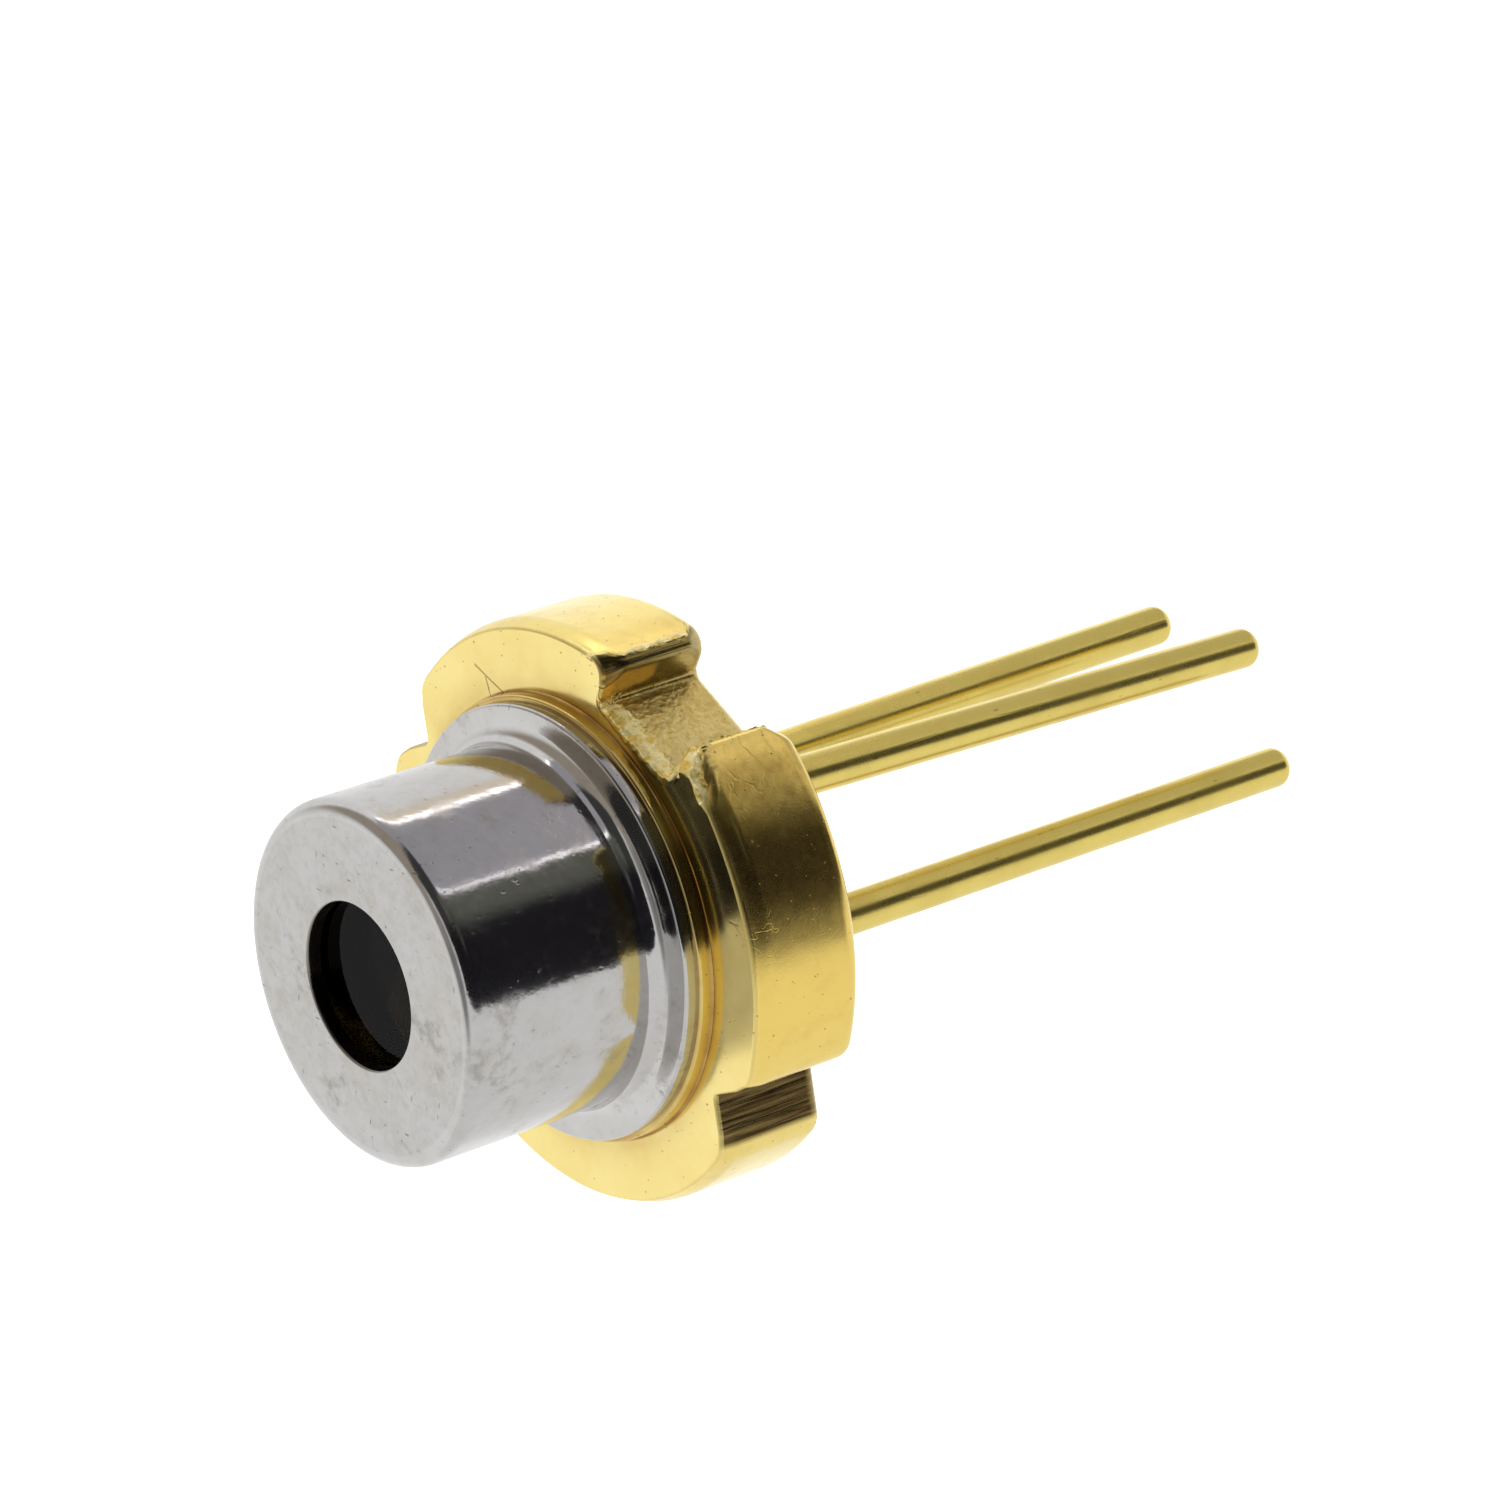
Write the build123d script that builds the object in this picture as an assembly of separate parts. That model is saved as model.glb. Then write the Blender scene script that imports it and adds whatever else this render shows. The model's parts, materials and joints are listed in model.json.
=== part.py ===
from build123d import *
import math
import os

# Laser diode in a round 5.6 mm metal can: a gold-plated stem, a nickel cap with a window, three leads,
# and the sealed bench inside that carries the laser chip and its monitor photodiode.
# Millimetres. +Z is the optical axis, out of the window. Z = 0 is the stem's front face, on the axis.
# The wide notch points to -Y, the two V notches to -X and +X, and the heat sink stands on the +Y side.

# Stem: one forged disc, with a low land in front on which the cap is welded
stem_radius = 2.8
stem_thickness = 1.2
stem_front_chamfer = 0.07
stem_back_round = 0.15
land_margin = 0.05              # the land stands out this far past the cap's flange
land_height = 0.14
land_edge_chamfer = 0.03

# Notches in the rim, for turning the stem to its right angle
wide_notch_width = 1.06
wide_notch_depth = 0.52         # from the rim to the notch's floor
wide_notch_corner_round = 0.28
v_notch_depth = 0.42            # from the rim to the bottom of the V
v_notch_half_angle = 52.0
v_notch_corner_round = 0.25
notch_root_round = 0.06

# Cap: one drawn cup, with a turned-out flange and a round opening in its front
cap_radius = 1.735
cap_top = 2.38                  # from the stem's front face
cap_wall = 0.15
cap_front_round = 0.14
cap_opening_radius = 0.79
cap_opening_chamfer = 0.03
flange_width = 0.355            # from the barrel to the flange's edge
flange_thickness = 0.13
flange_edge_round = 0.06
flange_root_round = 0.20
cap_mouth_chamfer = 0.10        # inside, where the wall turns out into the flange

# Window: a glass disc behind the opening, held by a ring of sealing glass
window_edge_gap = 0.335         # from the disc's edge to the cap's wall
window_thickness = 0.25
window_seal_film = 0.04         # between the cap's front and the disc
window_seal_setback = 0.16      # from the opening's edge to the ring
window_seal_clearance = 0.08    # from the ring to the cap's wall

# Leads, on one circle about the axis. Each is straight in the stem and drifts a little on its way out
lead_radius = 0.2
lead_circle_radius = 1.0
lead_length = 7.0               # behind the stem's back face
lead_tip_round = 0.13
lead_bend_length = 0.6          # along the lead
lead_bend_depth = 0.45          # from the stem's back face to the middle of the bend
lead_angles = {"laser": 180.0, "common": 270.0, "photodiode": 0.0}
lead_tip_drifts = {"laser": (-0.03, -0.02), "common": (-0.10, 0.185), "photodiode": (-0.02, -0.13)}
laser_post_height = 0.92        # above the land
photodiode_post_height = 0.34   # above the land
common_lead_seat_depth = 0.4    # into the stem's back

# Glass seals round the two insulated leads, and the braze round the third
seal_radius = 0.45
seal_recess = 0.04
seal_dip = 0.03
braze_radius = 0.34
braze_height = 0.12

# Heat sink: a copper block brazed to the land
heat_sink_lead_gap = 0.25       # from its sides to the leads
heat_sink_cap_gap = 0.2         # from its rounded back to the cap's wall
heat_sink_top = 1.28            # from the stem's front face, level with the chip's light-giving end
heat_sink_braze_thickness = 0.03
heat_sink_edge_round = 0.03

# Laser bench: the chip on its submount, with the light leaving on the axis
laser_chip_width = 0.25
laser_chip_length = 0.60
laser_chip_thickness = 0.10
chip_solder_thickness = 0.01
submount_width = 0.70
submount_length = 0.78
submount_thickness = 0.20
submount_solder_thickness = 0.02

# Monitor photodiode, flat on the land behind the laser chip
photodiode_width = 0.50
photodiode_thickness = 0.18
photodiode_solder_thickness = 0.02
photodiode_clearance = 0.06     # from its back edge to the heat sink's face

# Bond wires
wire_radius = 0.015
wire_loop = 0.22                # how far the bench's loops stand off the surface they start from
photodiode_wire_loop = 0.13     # how far the photodiode's loop stands above its lead

# Places that several pieces share
land_z = land_height
flange_radius = cap_radius + flange_width
land_radius = flange_radius + land_margin
wide_notch_floor = stem_radius - wide_notch_depth
v_notch_root = stem_radius - v_notch_depth
cap_inner_radius = cap_radius - cap_wall
cap_inner_top = cap_top - cap_wall
window_radius = cap_inner_radius - window_edge_gap
window_seal_inner_radius = cap_opening_radius + window_seal_setback
heat_sink_width = 2 * (lead_circle_radius - lead_radius - heat_sink_lead_gap)
heat_sink_back_radius = cap_inner_radius - heat_sink_cap_gap
submount_front_y = chip_solder_thickness
submount_back_y = submount_front_y + submount_thickness
heat_sink_face_y = submount_back_y + submount_solder_thickness
chip_back_y = 0.0
chip_front_y = chip_back_y - laser_chip_thickness
seal_front_z = land_z - seal_recess
seal_back_z = -stem_thickness + seal_recess
common_seat_z = -stem_thickness + common_lead_seat_depth
laser_post_z = land_z + laser_post_height
photodiode_post_z = land_z + photodiode_post_height
photodiode_bottom = land_z + photodiode_solder_thickness


def on_circle(angle, radius):
    """A point in the XY plane, at this angle in degrees and this distance from the axis."""
    turn = math.radians(angle)
    return radius * math.cos(turn), radius * math.sin(turn)


def lead_root(name):
    """Where this lead's axis meets the stem's back face."""
    return on_circle(lead_angles[name], lead_circle_radius)


def plate(width, length, thickness, front_y, top_z):
    """A flat plate that stands upright, its front on front_y, its top edge on top_z, centred on X."""
    centre = (0, front_y + thickness / 2, top_z - length / 2)
    return Pos(*centre) * Box(width, thickness, length)


def stem_outline():
    """The stem's outline seen along the axis: a disc with one wide notch and two V notches."""
    reach = 2 * stem_radius
    wide_notch = Pos(0, -wide_notch_floor - reach / 2) * Rectangle(wide_notch_width, reach)
    slope = math.tan(math.radians(v_notch_half_angle))
    v_notch = make_face(Polyline(
        (v_notch_root, 0),
        (v_notch_root + reach, slope * reach),
        (v_notch_root + reach, -slope * reach),
        close=True,
    ))
    outline = Circle(stem_radius) - wide_notch - v_notch - Rot(0, 0, 180) * v_notch
    roots = [v for v in outline.vertices() if v.center().length < stem_radius - 0.01]
    outline = fillet(roots, notch_root_round)
    on_rim = [v for v in outline.vertices() if v.center().length > stem_radius - 0.01]
    outline = fillet([v for v in on_rim if v.Y < -wide_notch_floor], wide_notch_corner_round)
    on_rim = [v for v in outline.vertices() if v.center().length > stem_radius - 0.01]
    return fillet([v for v in on_rim if abs(v.X) > v_notch_root], v_notch_corner_round)


def make_stem():
    disc = extrude(stem_outline(), -stem_thickness)
    back_rim = disc.faces().sort_by(Axis.Z)[0].edges()
    disc = fillet(back_rim, stem_back_round)
    front_rim = disc.faces().sort_by(Axis.Z)[-1].edges()
    disc = chamfer(front_rim, stem_front_chamfer)
    land = Pos(0, 0, land_z / 2) * Cylinder(land_radius, land_height)
    land = chamfer(land.edges().sort_by(Axis.Z)[-1], land_edge_chamfer)
    stem = disc + land
    hole_length = 2 * (stem_thickness + land_height)
    for name in ("laser", "photodiode"):
        stem -= Pos(*lead_root(name), 0) * Cylinder(seal_radius, hole_length)
    seat = Pos(*lead_root("common"), common_seat_z) * Cylinder(
        lead_radius, 2 * common_lead_seat_depth, align=(Align.CENTER, Align.CENTER, Align.MAX)
    )
    return stem - seat


def make_cap():
    """One turned section: front disc, barrel and flange, with the same wall all over."""
    bottom = land_z
    flange_top = bottom + flange_thickness
    section = make_face(Polyline(
        (cap_opening_radius, cap_inner_top),
        (cap_opening_radius, cap_top),
        (cap_radius, cap_top),
        (cap_radius, flange_top),
        (flange_radius, flange_top),
        (flange_radius, bottom),
        (cap_inner_radius, bottom),
        (cap_inner_radius, cap_inner_top),
        close=True,
    ))
    corners = (
        (cap_radius, cap_top, fillet, cap_front_round),
        (cap_radius, flange_top, fillet, flange_root_round),
        (flange_radius, flange_top, fillet, flange_edge_round),
        (cap_opening_radius, cap_top, chamfer, cap_opening_chamfer),
        (cap_inner_radius, bottom, chamfer, cap_mouth_chamfer),
    )
    for x, y, soften, size in corners:
        corner = section.vertices().sort_by_distance((x, y, 0))[0]
        section = soften(corner, size)
    return revolve(Plane.XZ * section, Axis.Z)


def make_window_glass():
    top = cap_inner_top - window_seal_film
    return Pos(0, 0, top - window_thickness / 2) * Cylinder(window_radius, window_thickness)


def make_window_seal():
    """A ring that fills the film in front of the disc and runs down its edge as a fillet."""
    outer = cap_inner_radius - window_seal_clearance
    film_z = cap_inner_top - window_seal_film
    foot_z = film_z - window_thickness
    section = make_face(Polyline(
        (window_seal_inner_radius, cap_inner_top),
        (outer, cap_inner_top),
        (outer, film_z),
        (window_radius, foot_z),
        (window_radius, film_z),
        (window_seal_inner_radius, film_z),
        close=True,
    ))
    return revolve(Plane.XZ * section, Axis.Z)


def make_lead(name, inner_z):
    """A round wire from inner_z to its tip, straight through the stem and then drifting to one side."""
    x, y = lead_root(name)
    drift_x, drift_y = lead_tip_drifts[name]
    tip = (x + drift_x, y + drift_y, -stem_thickness - lead_length)
    drift = math.hypot(drift_x, drift_y)
    if drift < 0.001:
        path = Line((x, y, inner_z), tip)
    else:
        bend = (x, y, -stem_thickness - lead_bend_depth)
        turn = math.atan2(drift, lead_length - lead_bend_depth)
        bend_radius = lead_bend_length / 2 / math.tan(turn / 2)
        path = FilletPolyline((x, y, inner_z), bend, tip, radius=bend_radius)
    wire = sweep(Pos(x, y, inner_z) * Circle(lead_radius), path=path)
    tip_face = wire.faces().sort_by(Axis.Z)[0]
    return fillet(tip_face.edges(), lead_tip_round)


def make_seal(name):
    """A glass bead that fills the gap between stem and lead, its back end dished by the wetting."""
    middle_radius = (lead_radius + seal_radius) / 2
    corners = [(lead_radius, seal_back_z), (lead_radius, seal_front_z), (seal_radius, seal_front_z)]
    corners.append((seal_radius, seal_back_z))
    dish = ThreePointArc(corners[-1], (middle_radius, seal_back_z + seal_dip), corners[0])
    section = make_face(Polyline(*corners) + dish)
    bead = revolve(Plane.XZ * section, Axis.Z)
    return Pos(*lead_root(name), 0) * bead


def make_common_braze():
    """A sloping collar of braze where the third lead stands in the stem's back."""
    back = -stem_thickness
    section = make_face(Polyline(
        (lead_radius, back),
        (braze_radius, back),
        (lead_radius, back - braze_height),
        close=True,
    ))
    return Pos(*lead_root("common"), 0) * revolve(Plane.XZ * section, Axis.Z)


def heat_sink_footprint():
    """A block with a flat front, two flat sides and a back rounded about the axis."""
    depth = heat_sink_back_radius - heat_sink_face_y
    block = Pos(0, heat_sink_face_y + depth / 2) * Rectangle(heat_sink_width, depth)
    return block & Circle(heat_sink_back_radius)


def make_heat_sink():
    bottom = land_z + heat_sink_braze_thickness
    block = Pos(0, 0, bottom) * extrude(heat_sink_footprint(), heat_sink_top - bottom)
    back_edge = block.faces().sort_by(Axis.Z)[-1].edges().sort_by(Axis.Y)[-1]
    return fillet(back_edge, heat_sink_edge_round)


def make_heat_sink_braze():
    return Pos(0, 0, land_z) * extrude(heat_sink_footprint(), heat_sink_braze_thickness)


def photodiode_centre():
    return 0, heat_sink_face_y - photodiode_clearance - photodiode_width / 2


def make_photodiode_plate(bottom, thickness):
    x, y = photodiode_centre()
    return Pos(x, y, bottom + thickness / 2) * Box(photodiode_width, photodiode_width, thickness)


def make_wire(*points):
    """A fine round wire in straight runs between these points, with a mitred kink at each one between."""
    start = Vector(*points[0])
    section = Plane(origin=start, z_dir=Vector(*points[1]) - start) * Circle(wire_radius)
    return sweep(section, path=Polyline(*points), transition=Transition.RIGHT)


def make_laser_wire():
    """From the top of the laser chip to the side of the laser lead."""
    z = heat_sink_top - laser_chip_length / 2
    x, y = lead_root("laser")
    loop_y = chip_front_y - wire_loop
    end_y = y - lead_radius
    wire = make_wire(
        (0, chip_front_y, z), (0, loop_y, z), (x, end_y - wire_loop, z), (x, end_y + wire_radius, z)
    )
    return wire - make_lead("laser", laser_post_z)


def make_submount_wire():
    """From the metal on the submount to the face of the heat sink beside it."""
    z = heat_sink_top - submount_length / 2
    start_x = (laser_chip_width / 2 + submount_width / 2) / 2
    end_x = (submount_width + heat_sink_width) / 4
    loop_y = submount_front_y - wire_loop
    return make_wire(
        (start_x, submount_front_y, z), (start_x, loop_y, z), (end_x, loop_y, z), (end_x, heat_sink_face_y, z)
    )


def make_photodiode_wire():
    """From the top of the photodiode to the end of its lead."""
    x, y = photodiode_centre()
    start_x = x + photodiode_width / 4
    start_z = photodiode_bottom + photodiode_thickness
    end_x, end_y = lead_root("photodiode")
    loop_z = photodiode_post_z + photodiode_wire_loop
    return make_wire(
        (start_x, y, start_z), (start_x, y, loop_z), (end_x, end_y, loop_z), (end_x, end_y, photodiode_post_z)
    )


parts = {
    "stem": make_stem(),
    "cap": make_cap(),
    "window_glass": make_window_glass(),
    "window_seal": make_window_seal(),
    "laser_lead": make_lead("laser", laser_post_z),
    "photodiode_lead": make_lead("photodiode", photodiode_post_z),
    "common_lead": make_lead("common", common_seat_z),
    "laser_lead_seal": make_seal("laser"),
    "photodiode_lead_seal": make_seal("photodiode"),
    "common_lead_braze": make_common_braze(),
    "heat_sink": make_heat_sink(),
    "heat_sink_braze": make_heat_sink_braze(),
    "submount_solder": plate(
        submount_width, submount_length, submount_solder_thickness, submount_back_y, heat_sink_top
    ),
    "submount": plate(submount_width, submount_length, submount_thickness, submount_front_y, heat_sink_top),
    "laser_chip_solder": plate(
        laser_chip_width, laser_chip_length, chip_solder_thickness, chip_back_y, heat_sink_top
    ),
    "laser_chip": plate(laser_chip_width, laser_chip_length, laser_chip_thickness, chip_front_y, heat_sink_top),
    "photodiode_solder": make_photodiode_plate(land_z, photodiode_solder_thickness),
    "photodiode": make_photodiode_plate(photodiode_bottom, photodiode_thickness),
    "laser_wire": make_laser_wire(),
    "submount_wire": make_submount_wire(),
    "photodiode_wire": make_photodiode_wire(),
}

os.makedirs("parts", exist_ok=True)
for node, solid in parts.items():
    export_step(solid, f"parts/{node}.step")
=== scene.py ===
import json
import math
from types import SimpleNamespace

import bmesh
import bpy
from mathutils import Matrix, Vector, noise


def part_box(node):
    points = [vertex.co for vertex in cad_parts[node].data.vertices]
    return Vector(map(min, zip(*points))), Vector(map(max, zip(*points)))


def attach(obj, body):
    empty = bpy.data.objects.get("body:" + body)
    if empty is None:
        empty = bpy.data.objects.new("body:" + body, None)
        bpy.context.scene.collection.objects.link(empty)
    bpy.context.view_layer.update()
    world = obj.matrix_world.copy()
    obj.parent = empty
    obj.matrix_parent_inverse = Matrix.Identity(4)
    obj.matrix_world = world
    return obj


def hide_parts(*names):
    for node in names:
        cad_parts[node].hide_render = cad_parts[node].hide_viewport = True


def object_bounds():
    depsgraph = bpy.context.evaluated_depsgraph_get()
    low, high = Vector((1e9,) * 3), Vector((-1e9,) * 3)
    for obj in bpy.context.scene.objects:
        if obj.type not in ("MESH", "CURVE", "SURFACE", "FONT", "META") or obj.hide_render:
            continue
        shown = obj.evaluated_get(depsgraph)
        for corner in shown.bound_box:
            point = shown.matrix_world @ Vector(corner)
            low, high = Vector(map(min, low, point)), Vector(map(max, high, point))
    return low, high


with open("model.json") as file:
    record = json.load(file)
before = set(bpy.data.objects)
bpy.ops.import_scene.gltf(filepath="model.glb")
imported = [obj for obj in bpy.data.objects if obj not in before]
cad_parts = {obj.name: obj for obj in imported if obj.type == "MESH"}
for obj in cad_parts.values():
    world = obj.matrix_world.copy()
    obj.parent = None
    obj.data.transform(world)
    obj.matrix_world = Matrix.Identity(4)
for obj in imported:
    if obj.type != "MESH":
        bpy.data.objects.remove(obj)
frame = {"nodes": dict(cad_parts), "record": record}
cadLow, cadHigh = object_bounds()
mm = 0.001  # sizes below are in millimetres, Blender's are in metres
print("frame loaded,", len(frame["nodes"]), "solids")


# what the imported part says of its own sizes

mounts = {m["name"]: m for m in frame["record"]["mounts"]}


def nodeBox(name):
    low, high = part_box(name)
    return low / mm, high / mm


stemLow, stemHigh = nodeBox("stem")
capLow, capHigh = nodeBox("cap")
stemRadius = mounts["stem_rim"]["dims"]["r_mm"]
leadRadius = mounts["laser_lead_pin"]["dims"]["r_mm"]
stemBack, landTop = stemLow.z, stemHigh.z
flangeRadius = capHigh.x


def easeStep(value):
    t = max(0.0, min(1.0, value))
    return t * t * (3 - 2 * t)


# node trees: a socket is fed with a plain value or with another node's output, which also tells the tree

def feed(socket, value):
    if isinstance(value, bpy.types.NodeSocket):
        socket.id_data.links.new(value, socket)
    elif socket.type == "RGBA":
        socket.default_value = (*value, 1.0)
    else:
        socket.default_value = value


def feedAll(inputs, sockets):
    for key, value in sockets.items():
        feed(inputs[key], value)


def addNode(tree, kind, sockets={}, **settings):
    node = tree.nodes.new(kind)
    for key, value in settings.items():
        setattr(node, key, value)
    feedAll(node.inputs, sockets)
    return node


def mathNode(operation, *values, clamp=False):
    tree = next(value.id_data for value in values if isinstance(value, bpy.types.NodeSocket))
    sockets = dict(enumerate(values))
    return addNode(tree, "ShaderNodeMath", sockets, operation=operation, use_clamp=clamp).outputs[0]


def chain(operation, values):
    whole = values[0]
    for value in values[1:]:
        whole = mathNode(operation, whole, value)
    return whole


def times(*values):
    return chain("MULTIPLY", values)


def plus(*values):
    return chain("ADD", values)


def most(*values):
    return chain("MAXIMUM", values)


def minus(a, b, clamp=False):
    return mathNode("SUBTRACT", a, b, clamp=clamp)


def over(a, b, clamp=False):
    return mathNode("DIVIDE", a, b, clamp=clamp)


def cutOff(value, level, gain):
    # only what passes the level is left, made steeper and held under 1
    return mathNode("MULTIPLY", minus(value, level), gain, clamp=True)


def vectorNode(operation, a, b):
    return addNode(a.id_data, "ShaderNodeVectorMath", {0: a, 1: b}, operation=operation).outputs


def rampMask(value, low, high):
    sockets = {"Value": value, "From Min": low, "From Max": high}
    return addNode(value.id_data, "ShaderNodeMapRange", sockets, clamp=True).outputs["Result"]


def mixColours(share, first, second):
    return addNode(share.id_data, "ShaderNodeMix", {0: share, 6: first, 7: second}, data_type="RGBA").outputs[2]


def mixValues(share, first, second):
    return addNode(share.id_data, "ShaderNodeMix", {0: share, 2: first, 3: second}, data_type="FLOAT").outputs[0]


def addNoise(vector, scale, detail=3.0, roughness=0.5):
    sockets = {"Vector": vector, "Scale": scale, "Detail": detail, "Roughness": roughness}
    return addNode(vector.id_data, "ShaderNodeTexNoise", sockets).outputs[0]


def splitAxes(vector):
    return addNode(vector.id_data, "ShaderNodeSeparateXYZ", {0: vector}).outputs


socketTypes = {tuple: "Vector", int: "Int", float: "Float"}


def newGroup(name, kind, inputs, output, outputType):
    # each input has the value it starts from, or the name of its type if it has none
    tree = bpy.data.node_groups.new(name, kind)
    for label, value in inputs.items():
        socketType = socketTypes.get(type(value), value)
        socket = tree.interface.new_socket(name=label, in_out="INPUT", socket_type="NodeSocket" + socketType)
        if socketType != value:
            socket.default_value = value
    tree.interface.new_socket(name=output, in_out="OUTPUT", socket_type="NodeSocket" + outputType)
    return tree, tree.nodes.new("NodeGroupInput").outputs, tree.nodes.new("NodeGroupOutput").inputs[0]


def newMaskGroup(name, **inputs):
    return newGroup(name, "ShaderNodeTree", {"Vector": (0.0, 0.0, 0.0), **inputs}, "Mask", "Float")


# finishes that several metals share, as shader node groups

def makeCloudGroup():
    # soft patches of a second tone, from cleaning, handling and uneven plating
    tree, source, result = newMaskGroup("platingClouds", Scale=1.0, Low=0.45, High=0.65)
    clouds = addNoise(source["Vector"], source["Scale"], 5.0, 0.6)
    feed(result, rampMask(clouds, source["Low"], source["High"]))
    return tree


def makeScratchGroup():
    # hairlines: the thin lines where a stretched noise crosses its middle, broken up by a second noise
    tree, source, result = newMaskGroup("hairScratches", Stretch=(1.0, 1.0, 1.0), Turn=(0.0, 0.0, 0.0), Width=0.02,
                                        Share=0.5)
    sockets = {"Vector": source["Vector"], "Scale": source["Stretch"], "Rotation": source["Turn"]}
    place = addNode(tree, "ShaderNodeMapping", sockets).outputs[0]
    offCentre = mathNode("ABSOLUTE", minus(addNoise(place, 1.0, 2.0), 0.5))
    thin = minus(1.0, over(offCentre, source["Width"]), clamp=True)
    kept = cutOff(addNoise(place, 0.35, 1.0), minus(1.0, source["Share"]), 12.0)
    feed(result, times(thin, kept))
    return tree


def makePitGroup():
    # small dark specks and pits, a random few of the cells of a pattern, drawn out along one direction
    tree, source, result = newMaskGroup("surfacePits", Stretch=(1.0, 1.0, 1.0), Turn=(0.0, 0.0, 0.0), Size=0.2,
                                        Share=0.2)
    sockets = {"Vector": source["Vector"], "Rotation": source["Turn"]}
    place = addNode(tree, "ShaderNodeMapping", sockets, vector_type="TEXTURE").outputs[0]
    scaled = vectorNode("MULTIPLY", place, source["Stretch"])[0]
    cells = addNode(tree, "ShaderNodeTexVoronoi", {"Vector": scaled, "Scale": 1.0}).outputs
    draws = addNode(tree, "ShaderNodeSeparateColor", {0: cells["Color"]}).outputs
    chosen = mathNode("LESS_THAN", draws[0], source["Share"])
    reach = times(source["Size"], addNoise(scaled, 1.9), plus(0.4, draws[1]))
    depth = minus(1.0, over(cells["Distance"], reach), clamp=True)
    feed(result, times(chosen, cutOff(depth, 0.0, 2.0)))
    return tree


def makeScoreGroup():
    # one scored line between two points, seen from above
    tree, source, result = newMaskGroup("scoredLine", Start=(0.0, 0.0, 0.0), Reach=(1.0, 0.0, 0.0), Width=0.00001)
    reach = source["Reach"]
    flat = vectorNode("MULTIPLY", source["Vector"], (1.0, 1.0, 0.0))[0]
    offset = vectorNode("SUBTRACT", flat, source["Start"])[0]
    along = vectorNode("DOT_PRODUCT", offset, reach)["Value"]
    share = over(along, vectorNode("DOT_PRODUCT", reach, reach)["Value"], clamp=True)
    scaled = addNode(tree, "ShaderNodeVectorMath", {0: reach, "Scale": share}, operation="SCALE").outputs[0]
    away = vectorNode("DISTANCE", offset, scaled)["Value"]
    width = times(source["Width"], plus(0.35, minus(1.0, share)))
    feed(result, minus(1.0, over(away, width), clamp=True))
    return tree


cloudGroup = makeCloudGroup()
scoreGroup = makeScoreGroup()
scratchGroup = makeScratchGroup()
pitGroup = makePitGroup()


def useGroup(group, vector, **values):
    return addNode(vector.id_data, "ShaderNodeGroup", {"Vector": vector, **values}, node_tree=group).outputs["Mask"]


def newMaterial(name):
    material = bpy.data.materials.new(name)
    material.use_nodes = True
    tree = material.node_tree
    return material, tree, tree.nodes["Principled BSDF"].inputs


def objectVector(tree):
    return addNode(tree, "ShaderNodeTexCoord").outputs["Object"]


def attribute(tree, name, output="Fac"):
    return addNode(tree, "ShaderNodeAttribute", attribute_name=name).outputs[output]


def addBump(shader, height, strength, distance):
    sockets = {"Strength": strength, "Distance": distance, "Height": height}
    feed(shader["Normal"], addNode(height.id_data, "ShaderNodeBump", sockets).outputs[0])


# cap metal: a mirror-bright drawn barrel, a satin front face and a coined flange

capFinish = {
    "bright": (0.555, 0.545, 0.535),
    "satin": (0.505, 0.497, 0.487),
    "tarnish": (0.40, 0.36, 0.30),
    "dull": (0.27, 0.26, 0.235),
    "mark": (0.17, 0.155, 0.14),
    # painted shade for the opening's wall
    "inside": (0.10, 0.08, 0.045),
    "insideRadius": (0.812, 0.792),     # painted shade: the opening's wall darkens between these
    "barrelRoughness": 0.085,
    "faceRoughness": 0.22,
    "hairs": (                          # stretch, turn, size and share of each set of short marks
        ((6000.0, 19000.0, 9000.0), 0.5, 0.42, 0.26),
        ((5600.0, 17000.0, 9000.0), 1.9, 0.40, 0.24),
        ((14000.0, 15000.0, 9000.0), 2.8, 0.36, 0.14),
    ),
    "bump": 0.012,
}


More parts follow.
